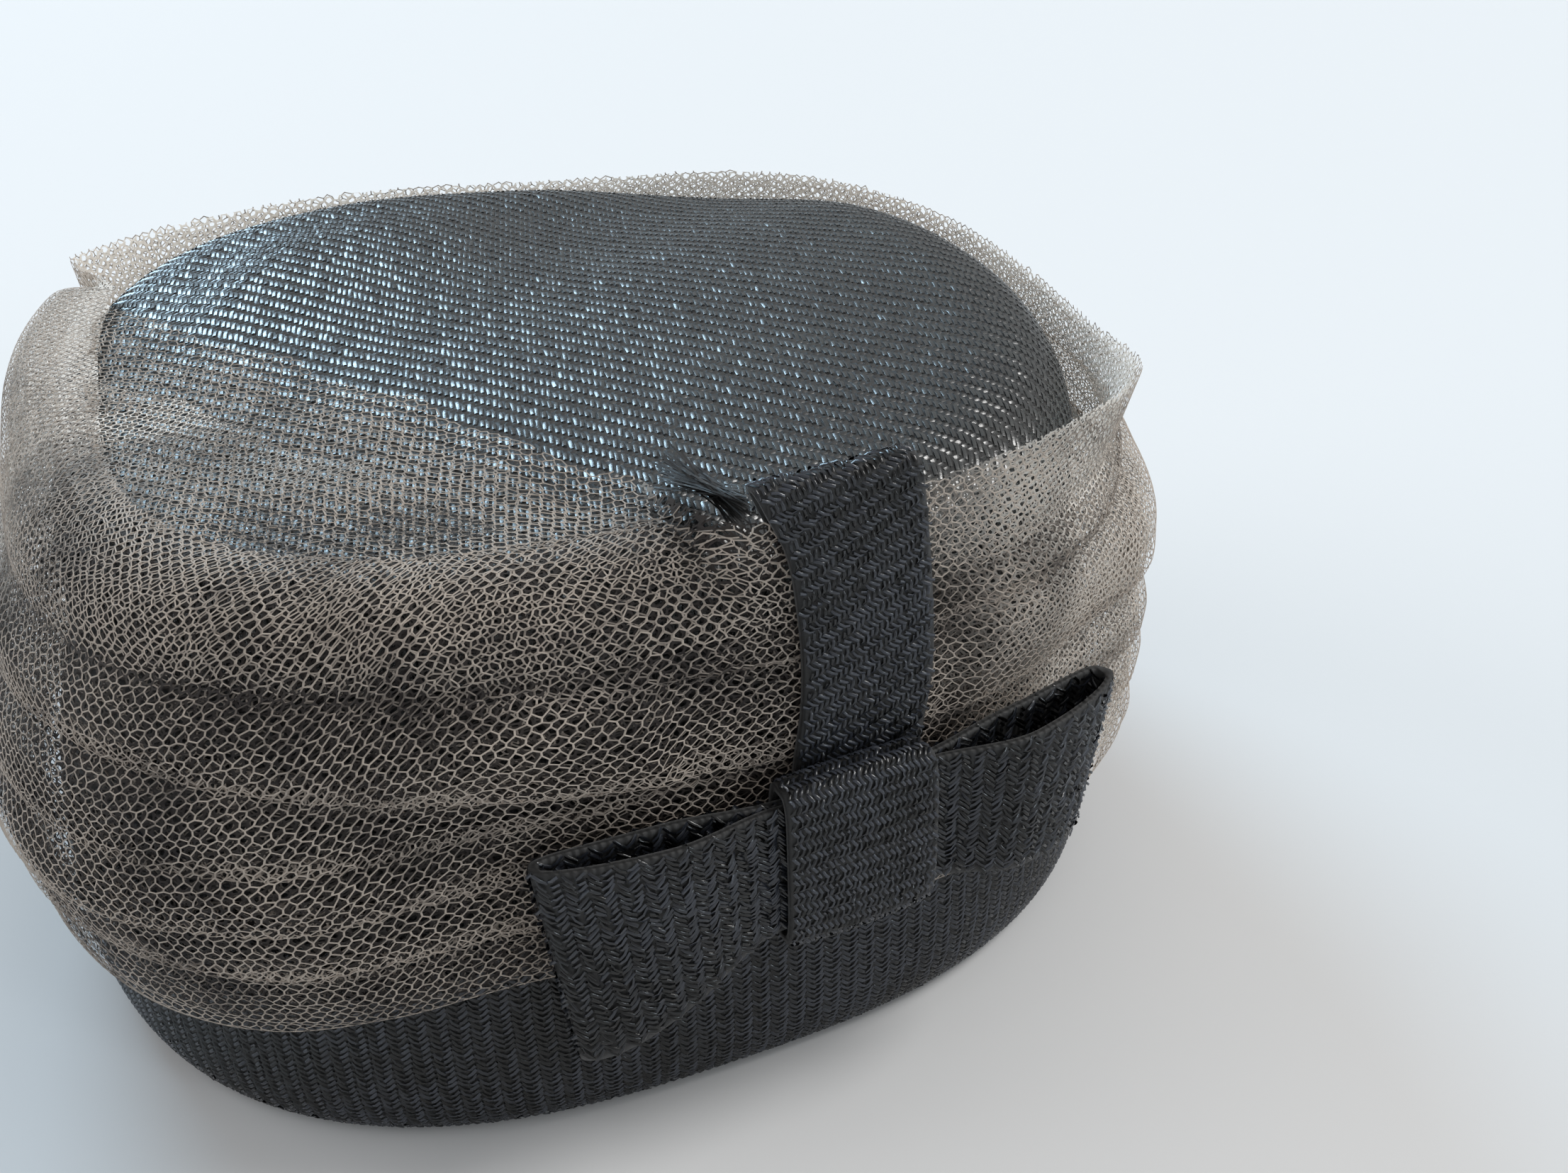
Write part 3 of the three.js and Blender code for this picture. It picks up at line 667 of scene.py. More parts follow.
def wall_mesh(name, face, back, ring):
    """A closed cloth wall between two grids of points. A ring closes on itself along its rows."""
    rows, columns = face.shape[:2]
    front = np.arange(rows * columns).reshape(rows, columns)
    behind = front + rows * columns
    if ring:
        front, behind = closed(front), closed(behind)

    def strip(a, b, c, d):
        return np.stack([a, b, c, d], -1).reshape(-1, 4)

    quads = [
        strip(front[:-1, :-1], front[1:, :-1], front[1:, 1:], front[:-1, 1:]),
        strip(behind[:-1, 1:], behind[1:, 1:], behind[1:, :-1], behind[:-1, :-1]),
        strip(behind[:-1, 0], behind[1:, 0], front[1:, 0], front[:-1, 0]),
        strip(front[:-1, -1], front[1:, -1], behind[1:, -1], behind[:-1, -1]),
    ]
    if not ring:
        quads.append(strip(front[0, :-1], front[0, 1:], behind[0, 1:], behind[0, :-1]))
        quads.append(strip(behind[-1, :-1], behind[-1, 1:], front[-1, 1:], front[-1, :-1]))
    points = np.concatenate([face.reshape(-1, 3), back.reshape(-1, 3)])
    mesh = bpy.data.meshes.new(name)
    mesh.from_pydata(points.tolist(), [], np.concatenate(quads).tolist())
    tidy_mesh(mesh)
    return mesh


def tidy_mesh(mesh):
    """Merges doubled corners and turns every face outwards."""
    work = bmesh.new()
    work.from_mesh(mesh)
    bmesh.ops.remove_doubles(work, verts=work.verts, dist=1e-6)
    bmesh.ops.dissolve_degenerate(work, edges=work.edges, dist=1e-7)
    bmesh.ops.recalc_face_normals(work, faces=work.faces)
    work.to_mesh(mesh)
    work.free()
    mesh.shade_smooth()


def add_node(tree, kind, links=None, **settings):
    """A node with its settings, and its inputs set or linked by name or place."""
    node = tree.nodes.new(kind)
    for key, value in settings.items():
        setattr(node, key, value)
    for key, value in (links or {}).items():
        socket = node.inputs[key]
        if isinstance(value, bpy.types.NodeSocket):
            tree.links.new(value, socket)
        else:
            socket.default_value = value
    return node


FIBRE_FIELDS = ("along", "up", "size")


def fibre_tree():
    """Geometry nodes that lay one small bent strip at each point, along and out of the cloth."""
    tree = bpy.data.node_groups.new("laid_fibres", "GeometryNodeTree")
    sockets = (
        ("Geometry", "NodeSocketGeometry"),
        ("Rows along", "NodeSocketInt"),
        ("Rows across", "NodeSocketInt"),
        ("Arch along", "NodeSocketFloat"),
        ("Arch across", "NodeSocketFloat"),
        ("Material", "NodeSocketMaterial"),
    )
    for name, kind in sockets:
        tree.interface.new_socket(name, in_out="INPUT", socket_type=kind)
    tree.interface.new_socket("Geometry", in_out="OUTPUT", socket_type="NodeSocketGeometry")
    given = add_node(tree, "NodeGroupInput").outputs
    strip = add_node(
        tree,
        "GeometryNodeMeshGrid",
        {"Size X": 1.0, "Size Y": 1.0, "Vertices X": given["Rows along"], "Vertices Y": given["Rows across"]},
    )
    place = add_node(tree, "GeometryNodeInputPosition")
    square = add_node(
        tree, "ShaderNodeVectorMath", {0: place.outputs[0], 1: place.outputs[0]}, operation="MULTIPLY"
    )
    fall = add_node(
        tree,
        "ShaderNodeVectorMath",
        {0: square.outputs[0], 1: (-4, -4, 0), 2: (1, 1, 0)},
        operation="MULTIPLY_ADD",
    )
    height = add_node(tree, "ShaderNodeSeparateXYZ", {0: fall.outputs[0]})
    along = add_node(
        tree, "ShaderNodeMath", {0: height.outputs["X"], 1: given["Arch along"]}, operation="MULTIPLY"
    )
    arch = add_node(
        tree,
        "ShaderNodeMath",
        {0: height.outputs["Y"], 1: given["Arch across"], 2: along.outputs[0]},
        operation="MULTIPLY_ADD",
    )
    lift = add_node(tree, "ShaderNodeCombineXYZ", {"Z": arch.outputs[0]})
    bent = add_node(
        tree, "GeometryNodeSetPosition", {"Geometry": strip.outputs["Mesh"], "Offset": lift.outputs[0]}
    )
    fields = {}
    for name in FIBRE_FIELDS:
        fields[name] = add_node(
            tree, "GeometryNodeInputNamedAttribute", {"Name": name}, data_type="FLOAT_VECTOR"
        )
    turned = add_node(
        tree,
        "FunctionNodeAxesToRotation",
        {"Primary Axis": fields["up"].outputs[0], "Secondary Axis": fields["along"].outputs[0]},
        primary_axis="Z",
        secondary_axis="X",
    )
    laid = add_node(
        tree,
        "GeometryNodeInstanceOnPoints",
        {
            "Points": given["Geometry"],
            "Instance": bent.outputs["Geometry"],
            "Rotation": turned.outputs[0],
            "Scale": fields["size"].outputs[0],
        },
    )
    real = add_node(tree, "GeometryNodeRealizeInstances", {"Geometry": laid.outputs[0]})
    smooth = add_node(tree, "GeometryNodeSetShadeSmooth", {"Geometry": real.outputs[0]})
    painted = add_node(
        tree, "GeometryNodeSetMaterial", {"Geometry": smooth.outputs[0], "Material": given["Material"]}
    )
    add_node(tree, "NodeGroupOutput", {"Geometry": painted.outputs[0]})
    return tree


def evaluated_piece(name, source):
    """The result of an object's modifiers as a plain object. The source is removed."""
    graph = bpy.context.evaluated_depsgraph_get()
    result = source.evaluated_get(graph)
    mesh = bpy.data.meshes.new_from_object(result, preserve_all_data_layers=True, depsgraph=graph)
    mesh.name = name
    for field in FIBRE_FIELDS:
        if field in mesh.attributes:
            mesh.attributes.remove(mesh.attributes[field])
    points = source.data
    bpy.data.objects.remove(source)
    bpy.data.meshes.remove(points)
    return new_object(name, mesh, None)


def lay_fibres(name, fibres, rows, arch, material):
    """Lays one bent strip for each row of fibres: place, along, up, size and shade."""
    mesh = bpy.data.meshes.new(name + "_points")
    mesh.from_pydata(fibres["place"].tolist(), [], [])
    for field in FIBRE_FIELDS:
        layer = mesh.attributes.new(field, "FLOAT_VECTOR", "POINT")
        layer.data.foreach_set("vector", fibres[field].astype(np.float32).ravel())
    shade = mesh.attributes.new("shade", "FLOAT", "POINT")
    shade.data.foreach_set("value", fibres["shade"].astype(np.float32))
    source = new_object(name + "_points", mesh, None)
    tree = bpy.data.node_groups.get("laid_fibres") or fibre_tree()
    modifier = source.modifiers.new("laid_fibres", "NODES")
    modifier.node_group = tree
    inputs = {item.name: item.identifier for item in tree.interface.items_tree if item.in_out == "INPUT"}
    modifier[inputs["Rows along"]], modifier[inputs["Rows across"]] = rows
    modifier[inputs["Arch along"]], modifier[inputs["Arch across"]] = arch
    modifier[inputs["Material"]] = material
    return evaluated_piece(name, source)


def herringbone(cloth, weave, sizes, spans, seed, keep=None):
    """Floats of the straw weave over a span of cloth: ribs of slanted fibres that meet in a zigzag."""
    rng = np.random.default_rng(seed)
    widths = np.array([weave["wide"], weave["narrow"]])
    slants = np.radians([weave["slant"], weave["back_slant"]])
    runs = np.tan(slants) * widths
    step, grain = weave["step"], math.radians(weave["grain"])
    reach = math.hypot(*(high - low for low, high in spans)) / 2
    pairs = math.ceil(reach / widths.sum())
    rib = np.arange(-pairs, pairs)
    middles = np.stack([rib * widths.sum(), (rib + 0.5) * widths.sum()], 1).ravel()
    phases = np.stack([rib * runs.sum(), (rib + 0.5) * runs.sum()], 1).ravel()
    floats = np.arange(-reach, reach, step)
    a = (floats + np.mod(phases, step)[:, None]).ravel()
    b = np.repeat(middles, len(floats))
    kind = np.repeat(np.tile([0, 1], 2 * pairs), len(floats))
    a = a + rng.normal(0, WEAVE_SLIP["along"], a.size) * step
    b = b + rng.normal(0, WEAVE_SLIP["across"], a.size) * widths[kind]
    c, s = math.cos(grain), math.sin(grain)
    x, y = sum(spans[0]) / 2 + a * c - b * s, sum(spans[1]) / 2 + a * s + b * c
    kept = (x > spans[0][0]) & (x < spans[0][1]) & (y > spans[1][0]) & (y < spans[1][1])
    if keep is not None:
        kept &= keep(x, y)
    x, y, kind = x[kept], y[kept], kind[kept]
    place, across, along, up = cloth.lie(x, y)
    across, along = across * c + along * s, along * c - across * s
    slant = (slants[kind] + rng.normal(0, WEAVE_SLIP["slant"], x.size))[:, None]
    direction = unit(across * np.sin(slant) + along * np.cos(slant))
    tilt = rng.normal(sizes.tilt, weave["stir"], x.size)[:, None]
    rolls = np.array([weave["roll"], weave["back_roll"]])
    roll = (rolls[kind] + rng.normal(0, weave["stir"], x.size))[:, None]
    turned = unit(up + direction * tilt + np.cross(up, direction) * roll)
    length = widths[kind] / np.cos(slants[kind]) * sizes.overlap * MM
    breadth = step * np.cos(slants[kind]) * sizes.cover * MM
    size = np.stack([length, breadth, np.ones(x.size)], 1)
    sunk = sizes.lift - sizes.sink * (weave["narrow"] < weave["wide"])
    lift = np.where(kind > 0, sunk, sizes.lift)[:, None]
    # Every other rib is painted paler, a painted sheen; the rest is each float's own random tone.
    shade = rng.random(x.size) * FLOAT_SHADE + np.where(kind > 0, 0, RIB_PAINTED_SHEEN)
    return dict(place=place + up * lift, along=direction, up=turned, size=size, shade=shade)


def hex_net(cloth, spans, net, seed, keep, folds=None):
    """Threads of the tulle: the three sides that each six-sided cell owns, in rows of cells side by side."""
    rng = np.random.default_rng(seed)
    (left, right), (low, high) = spans
    columns = round((right - left) / (net.cell_width / MM))
    wide = (right - left) / columns
    tall = net.row_pitch / MM
    rows = int((high - low) / tall) + 1
    r, c = (g.ravel() for g in np.meshgrid(np.arange(rows), np.arange(columns), indexing="ij"))
    x = left + (c + 0.5 * (r % 2)) * wide
    y = low + r * tall
    side = net.side_share * tall
    corners = [(-wide / 2, side), (0, tall - side), (wide / 2, side), (wide / 2, -side)]
    starts = np.concatenate([np.stack([x + a, y + b], 1) for a, b in corners[:3]])
    ends = np.concatenate([np.stack([x + a, y + b], 1) for a, b in corners[1:]])
    twisted = np.repeat([1.0, 1.0, TWISTED_SIDE], len(x))

    def loosen(p):
        """Moves the corners to and fro in small waves, as soft net is pulled."""
        u, v = p[:, 0], p[:, 1]
        pull = 0.2 * np.sin(u * 1.9 + 2.3 * np.sin(v * 0.7)) + 0.12 * np.sin(v * 2.7 + u * 0.31)
        drift = 0.14 * np.sin(v * 2.1 + 1.7 * np.sin(u * 0.43)) + 0.1 * np.sin(u * 3.1 - v * 0.27)
        lean = 0.5 * np.sin(v * 0.19 + 0.9 * np.sin(u * 0.045))
        return np.stack([u + pull + lean, v + drift], 1)

    starts, ends = loosen(starts), loosen(ends)
    kept = keep(*starts.T) & keep(*ends.T)
    starts, ends, twisted = starts[kept], ends[kept], twisted[kept]
    middle = (starts + ends) / 2
    a, b = cloth.at(*starts.T), cloth.at(*ends.T)
    up = cloth.lie(*middle.T)[3]
    span = b - a
    length = np.linalg.norm(span, axis=1)
    size = np.stack([length * THREAD_OVERLAP, net.thread * twisted, np.ones(len(span))], 1)
    # Painted shade and light: threads darker towards a pleat's creases and paler where it puffs out.
    relief = folds.at(*middle.T)[:, 0] if folds else 0.5
    shade = rng.random(len(span)) * THREAD_SHADE + np.clip(relief, 0, 1) * PLEAT_PAINTED_SHADE
    return dict(place=(a + b) / 2, along=unit(span), up=up, size=size, shade=shade)


def hem_threads(cloth, net, seed):
    """Threads that run on along the tulle's hem."""
    rng = np.random.default_rng(seed)
    x = np.arange(0, cloth.xs[-1], EDGE_PITCH)
    height = np.full(len(x), HEM_RISE)
    start, end = cloth.at(x - EDGE_HALF, height), cloth.at(x + EDGE_HALF, height)
    up = cloth.lie(x, height)[3]
    span = end - start
    size = np.stack([np.linalg.norm(span, axis=1), np.full(len(x), net.thread), np.ones(len(x))], 1)
    return dict(place=(start + end) / 2, along=unit(span), up=up, size=size, shade=rng.random(len(x)))


def joined(*groups):
    return {key: np.concatenate([group[key] for group in groups]) for key in groups[0]}


def tip_walls(drop):
    """Grid of the tip's outside, or of its inside one wall further in."""
    turns = all_round(144)[:-1, None]
    shoulder = spline(SHOULDER_PROFILE, 16)
    profile = moved_in(shoulder, drop) if drop else shoulder
    rise = crown_rise(turns) * smoothstep(shoulder[:, 1], SEAM_HEIGHT + 1, SHOULDER_PROFILE[-1]["height"] - 1)
    turned = point_at(turns, crown_radius(turns, profile[:, 1] + rise) + profile[:, 0], profile[:, 1] + rise)
    radius = (crown_radius(turns, SEAM_HEIGHT) + SHOULDER_PROFILE[-1]["offset"]) * np.linspace(0.96, 0, 25)
    dome = point_at(turns, radius, tip_height(turns, radius) - drop)
    return np.concatenate([turned, dome], 1)


def band_walls():
    """Grids of the side band's outside and inside."""
    turns = all_round(144)[:-1, None]
    outside = spline(BAND_PROFILE, 40)
    inside = moved_in(outside, mix(RIM_WALL, CLOTH_WALL, smoothstep(outside[:, 1], 0, 9)))
    inside[0] = outside[0] - (RIM_WALL, 0)
    inside[-1] = outside[-1] - (CLOTH_WALL, 0)
    return [on_head(turns, side[:, 0], side[:, 1]) for side in (outside, inside)]


def let_light_through(tree, shader, colour, share):
    """Mixes a shader with one that passes light on from behind."""
    through = add_node(tree, "ShaderNodeBsdfTranslucent", {"Color": colour})
    mixed = add_node(tree, "ShaderNodeMixShader", {0: share, 1: shader.outputs[0], 2: through.outputs[0]})
    return mixed.outputs[0]


def new_material(name):
    """A material with its tree emptied down to a shader and an output."""
    material = bpy.data.materials.new(name)
    material.use_nodes = True
    tree = material.node_tree
    tree.nodes.clear()
    shader = add_node(tree, "ShaderNodeBsdfPrincipled")
    add_node(tree, "ShaderNodeOutputMaterial", {"Surface": shader.outputs[0]})
    return material, tree, shader


def connect(tree, shader, links):
    for name, socket in links.items():
        tree.links.new(socket, shader.inputs[name])


def colours_by(tree, factor, *stops):
    """A colour ramp over a factor, from places and colours."""
    ramp = add_node(tree, "ShaderNodeValToRGB", {"Fac": factor})
    elements = ramp.color_ramp.elements
    while len(elements) < len(stops):
        elements.new(0.5)
    for element, (place, colour) in zip(elements, stops):
        element.position = place
        element.color = (*colour, 1)
    return ramp.outputs["Color"]


def straw_fibre(name, dark, light, roughness, gloss):
    """Flat lacquered straw fibre: floats of many shades with glossy streaks, so the rows sparkle."""
    material, tree, shader = new_material(name)
    shade = add_node(tree, "ShaderNodeAttribute", attribute_name="shade").outputs["Fac"]
    place = add_node(tree, "ShaderNodeTexCoord").outputs["Object"]
    streaks = {"Vector": place, "Scale": pattern_scale(FIBRE_STREAK), "Detail": 2.0}
    streak = add_node(tree, "ShaderNodeTexNoise", streaks).outputs["Fac"]
    patches = {"Vector": place, "Scale": pattern_scale(FIBRE_PATCH), "Detail": 2.0}
    patch = add_node(tree, "ShaderNodeTexNoise", patches).outputs["Fac"]
    mixed = add_node(tree, "ShaderNodeMath", {0: shade, 1: 0.55, 2: patch}, operation="MULTIPLY_ADD")
    colour = colours_by(tree, mixed.outputs[0], (0.55, dark), (1.0, light))
    dulled = add_node(tree, "ShaderNodeMapRange", {0: streak, 3: roughness - 0.1, 4: roughness + 0.14})
    bump = add_node(tree, "ShaderNodeBump", {"Height": streak, "Strength": 0.25, "Distance": 0.1 * MM})
    connect(tree, shader, {"Base Color": colour, "Roughness": dulled.outputs[0], "Normal": bump.outputs[0]})
    shader.inputs["Specular IOR Level"].default_value = gloss
    return material


def straw_ground(name, dark, light):
    """The cloth under the floats: dull, near-black as painted shade between the floats, darker between ribs
    as painted shade in the grooves, with a woven grain of about a millimetre.
    """
    material, tree, shader = new_material(name)
    place = add_node(tree, "ShaderNodeTexCoord").outputs["Object"]
    rib_scale = pattern_scale(GROUND_RIB) * WAVE_LENGTH
    ribbed = {"Vector": place, "Scale": rib_scale, "Distortion": 3.0, "Detail": 2.0}
    ribs = add_node(tree, "ShaderNodeTexWave", ribbed).outputs["Fac"]
    grained = {"Vector": place, "Scale": pattern_scale(GROUND_GRAIN), "Detail": 3.0}
    grain = add_node(tree, "ShaderNodeTexNoise", grained).outputs["Fac"]
    relief = add_node(tree, "ShaderNodeMath", {0: ribs, 1: grain}, operation="MULTIPLY").outputs[0]
    colour = colours_by(tree, relief, (0.1, dark), (0.6, light))
    bump = add_node(tree, "ShaderNodeBump", {"Height": relief, "Strength": 0.6, "Distance": 0.3 * MM})
    connect(tree, shader, {"Base Color": colour, "Normal": bump.outputs[0]})
    shader.inputs["Roughness"].default_value = 0.62
    shader.inputs["Sheen Weight"].default_value = 0.1
    return material


def tulle_thread(name, dark, light):
    """Fine matt thread that glows against the light, with painted shade in the folds and painted light on
    their lips.
    """
    material, tree, shader = new_material(name)
    shade = add_node(tree, "ShaderNodeAttribute", attribute_name="shade").outputs["Fac"]
    place = add_node(tree, "ShaderNodeTexCoord").outputs["Object"]
    patches = {"Vector": place, "Scale": pattern_scale(TULLE_PATCH), "Detail": 3.0}
    patch = add_node(tree, "ShaderNodeTexNoise", patches).outputs["Fac"]
    mixed = add_node(tree, "ShaderNodeMath", {0: shade, 1: 0.8, 2: patch}, operation="MULTIPLY_ADD")
    colour = colours_by(tree, mixed.outputs[0], (0.4, dark), (1.0, light))
    connect(tree, shader, {"Base Color": colour})
    shader.inputs["Roughness"].default_value = 0.7
    lit = let_light_through(tree, shader, colour, TULLE_GLOW)
    tree.links.new(lit, tree.nodes["Material Output"].inputs["Surface"])
    return material


HEX_ROOT = math.sqrt(3)  # height of a six-sided cell whose sides are 1 long


def hexagon_edge(tree, cells):
    """How near a place is to the edge of its six-sided cell, from the nearer of two sets of cell middles."""
    step, half = (3, HEX_ROOT, 1), (1.5, HEX_ROOT / 2, 0)
    sized = {0: cells, 1: (1.5, HEX_ROOT, 0)}
    grid = add_node(tree, "ShaderNodeVectorMath", sized, operation="MULTIPLY").outputs[0]
    from_middles = []
    lengths = []
    for shift in ((0, 0, 0), half):
        moved = add_node(tree, "ShaderNodeVectorMath", {0: grid, 1: shift}, operation="ADD").outputs[0]
        wrapped = {0: moved, 1: step, 2: (0, 0, 0)}
        folded = add_node(tree, "ShaderNodeVectorMath", wrapped, operation="WRAP").outputs[0]
        away = add_node(tree, "ShaderNodeVectorMath", {0: folded, 1: half}, operation="SUBTRACT").outputs[0]
        from_middles.append(away)
        length = add_node(tree, "ShaderNodeVectorMath", {0: away}, operation="LENGTH")
        lengths.append(length.outputs["Value"])
    nearer = add_node(tree, "ShaderNodeMath", {0: lengths[0], 1: lengths[1]}, operation="GREATER_THAN")
    chosen = {"Factor": nearer.outputs[0], 4: from_middles[0], 5: from_middles[1]}
    own = add_node(tree, "ShaderNodeMix", chosen, data_type="VECTOR").outputs[1]
    whole = add_node(tree, "ShaderNodeVectorMath", {0: own}, operation="ABSOLUTE").outputs[0]
    sloped = {0: whole, 1: (HEX_ROOT / 2, 0.5, 0)}
    slope = add_node(tree, "ShaderNodeVectorMath", sloped, operation="DOT_PRODUCT").outputs["Value"]
    flat = add_node(tree, "ShaderNodeSeparateXYZ", {0: whole}).outputs["Y"]
    return add_node(tree, "ShaderNodeMath", {0: slope, 1: flat}, operation="MAXIMUM").outputs[0]


def tulle_film(name, dark, light, pale, thread_share):
    """Matt net of a layer behind: six-sided holes in the cells of its own map, darker towards one side as
    painted shade, paler elsewhere as painted light and thicker net.
    """
    material, tree, shader = new_material(name)
    cells = add_node(tree, "ShaderNodeUVMap", uv_map="net_cells").outputs[0]
    place = add_node(tree, "ShaderNodeTexCoord").outputs["Object"]
    slack = {"Vector": place, "Scale": pattern_scale(TULLE_SLACK), "Detail": 1.0}
    loose = add_node(tree, "ShaderNodeTexNoise", slack).outputs["Color"]
    loosened = {0: loose, 1: (0.5, 0.5, 0.0), 2: cells}
    pulled = add_node(tree, "ShaderNodeVectorMath", loosened, operation="MULTIPLY_ADD").outputs[0]
    edge = hexagon_edge(tree, pulled)
    rim = {0: edge, 1: HEX_ROOT / 2 * (1 - thread_share)}
    thread = add_node(tree, "ShaderNodeMath", rim, operation="GREATER_THAN").outputs[0]
    patches = {"Vector": place, "Scale": pattern_scale(TULLE_PATCH), "Detail": 3.0}
    patch = add_node(tree, "ShaderNodeTexNoise", patches).outputs["Fac"]
    # Painted shade towards the shaded side and painted light away from it, where the net is also thicker.
    shade_side_reach = add_node(tree, "ShaderNodeVectorMath", {0: place, 1: SHADED_SIDE}, operation="DOT_PRODUCT")
    fading = {0: shade_side_reach.outputs["Value"], 1: SHADED_SIDE_START * MM, 2: SHADED_SIDE_FULL * MM, 3: 0.6, 4: 0.0}
    thicker_and_lit = add_node(tree, "ShaderNodeMapRange", fading).outputs[0]
    layered = add_node(tree, "ShaderNodeMath", {0: patch, 1: 0.4, 2: thicker_and_lit}, operation="MULTIPLY_ADD")
    colour = colours_by(tree, layered.outputs[0], (0.15, dark), (0.35, light), (0.75, pale))
    connect(tree, shader, {"Base Color": colour})
    shader.inputs["Roughness"].default_value = 0.75
    lit = let_light_through(tree, shader, colour, TULLE_GLOW)
    hole = add_node(tree, "ShaderNodeBsdfTransparent")
    holed = add_node(tree, "ShaderNodeMixShader", {0: thread, 1: hole.outputs[0], 2: lit})
    tree.links.new(holed.outputs[0], tree.nodes["Material Output"].inputs["Surface"])
    return material


class WeaveSizes(bpy.types.PropertyGroup):
    overlap: FloatProperty(name="Overlap", description="Float length over its share of rib", default=1.04)
    cover: FloatProperty(name="Cover", description="Float width over its pitch", default=0.66)
    tilt: FloatProperty(name="Tilt", description="Mean rise of a float's far end", default=0.08)
    lift: FloatProperty(name="Lift", description="Of floats off the cloth", default=0.04 * MM, unit="LENGTH")
    sink: FloatProperty(name="Sink", description="Of a narrow rib's floats", default=0.08 * MM, unit="LENGTH")


class NetSizes(bpy.types.PropertyGroup):
    cell_width: FloatProperty(
        name="Cell width", description="From cell to cell in a row", default=2 * MM, unit="LENGTH"
    )
    row_pitch: FloatProperty(
        name="Row pitch", description="From row to row of cells", default=1.1 * MM, unit="LENGTH"
    )
    side_share: FloatProperty(
        name="Side share", description="Half a cell's upright side over the pitch", default=0.24
    )
    thread: FloatProperty(name="Thread", description="Width of a thread", default=0.2 * MM, unit="LENGTH")
    ridge: FloatProperty(name="Ridge", description="Height of a thread", default=0.08 * MM, unit="LENGTH")


def colour_property(name, code):
    return FloatVectorProperty(
        name=name, description="Linear colour", subtype="COLOR", size=3, default=linear(code)
    )


class HatColours(bpy.types.PropertyGroup):
    straw_dark: colour_property("Straw, dark", "080908")
    straw_light: colour_property("Straw, light", "242726")
    # The ground's near-black is painted shade for the gaps between the floats.
    ground_dark: colour_property("Ground, dark", "020202")
    ground_light: colour_property("Ground, light", "0b0b0b")
    trim_dark: colour_property("Trim, dark", "030303")
    trim_light: colour_property("Trim, light", "33363d")
    # Dark end of the tulle: painted shade in the pleats' creases and, in the net behind, on its shaded side.
    tulle_dark: colour_property("Tulle, dark", "282220")
    tulle_light: colour_property("Tulle, light", "b8aca0")
    # Pale end of the net behind: painted light away from the shaded side, and thicker net.
    folded_and_lit_film: colour_property("Tulle in thick folds", "e0d8ce")
    # Darker than the threads' pale end: painted shade for the layers behind.
    film: colour_property("Tulle behind", "3e3833")
    floor: colour_property("Floor", "d2d2d2")


class HatProperties(bpy.types.PropertyGroup):
    weave: PointerProperty(type=WeaveSizes)
    net: PointerProperty(type=NetSizes)
    colours: PointerProperty(type=HatColours)
    seed: IntProperty(name="Seed", description="Of the fibres' small differences", default=7)


def material_of(name):
    """One of the hat's materials, made at its first use."""
    found = bpy.data.materials.get(name)
    if found:
        return found
    colours = bpy.context.scene.hat.colours
    if name == "straw_fibre":
        return straw_fibre(name, colours.straw_dark, colours.straw_light, roughness=0.26, gloss=1.0)
    # The side and the trims have less lacquer than the tip, so they look darker; they take the trim colours,
    # whose wider range makes the painted sheen of every other rib stand out.
    if name == "band_fibre":
        return straw_fibre(name, colours.trim_dark, colours.trim_light, roughness=0.24, gloss=0.4)
    if name == "trim_fibre":
        return straw_fibre(name, colours.trim_dark, colours.trim_light, roughness=0.18, gloss=0.45)
    if name == "straw_ground":
        return straw_ground(name, colours.ground_dark, colours.ground_light)
    if name == "tulle_thread":
        return tulle_thread(name, colours.tulle_dark, colours.tulle_light)
    thread_share = FILM_THREADS[name]
    return tulle_film(name, colours.tulle_dark, colours.film, colours.folded_and_lit_film, thread_share)


def dress(piece, node=None):
    """Puts a piece on the hat, in place of a solid where it stands for one."""
    if node:
        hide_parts(node)
    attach(piece, "root")
    return piece


def weave_over(name, cloth, weave, spans, fibre, seed, keep=None):
    """The floats of one face of cloth as a piece of its own."""
    hat = bpy.context.scene.hat
    floats = herringbone(cloth, WEAVES[weave], hat.weave, spans, hat.seed + seed, keep)
    arch = (WEAVES[weave]["bend"] * MM, WEAVES[weave]["round"] * MM)
    return dress(lay_fibres(name, floats, (3, 3), arch, material_of(fibre)))


class HAT_OT_weave_tip(bpy.types.Operator):
    """Make the tip of straw cloth with its woven floats"""

    bl_idname = "hat.weave_tip"
    bl_label = "Weave tip"

    def execute(self, context):
        mesh = wall_mesh("tip_cloth", tip_walls(0), tip_walls(CLOTH_WALL), True)
        dress(new_object("tip_cloth", mesh, material_of("straw_ground")), "crown_tip")
        disc, limit = tip_cloth()

        def on_tip(x, y):
            return np.hypot(x, y) < limit(np.degrees(np.arctan2(x, -y))) - TIP_MARGIN

        span = (disc.xs[0], disc.xs[-1])
        weave_over("tip_floats", disc, "tip", (span, span), "straw_fibre", 1, on_tip)
        return {"FINISHED"}


class HAT_OT_weave_band(bpy.types.Operator):
    """Make the side band of straw cloth, with woven floats where the tulle leaves it bare"""

    bl_idname = "hat.weave_band"
    bl_label = "Weave side band"

    def execute(self, context):
        mesh = wall_mesh("band_cloth", *band_walls(), True)
        dress(new_object("band_cloth", mesh, material_of("straw_ground")), "side_band")
        band = band_cloth()
        spans = ((0, band.xs[-1]), BARE_BAND)
        weave_over("band_floats", band, "band", spans, "band_fibre", 2)
        return {"FINISHED"}


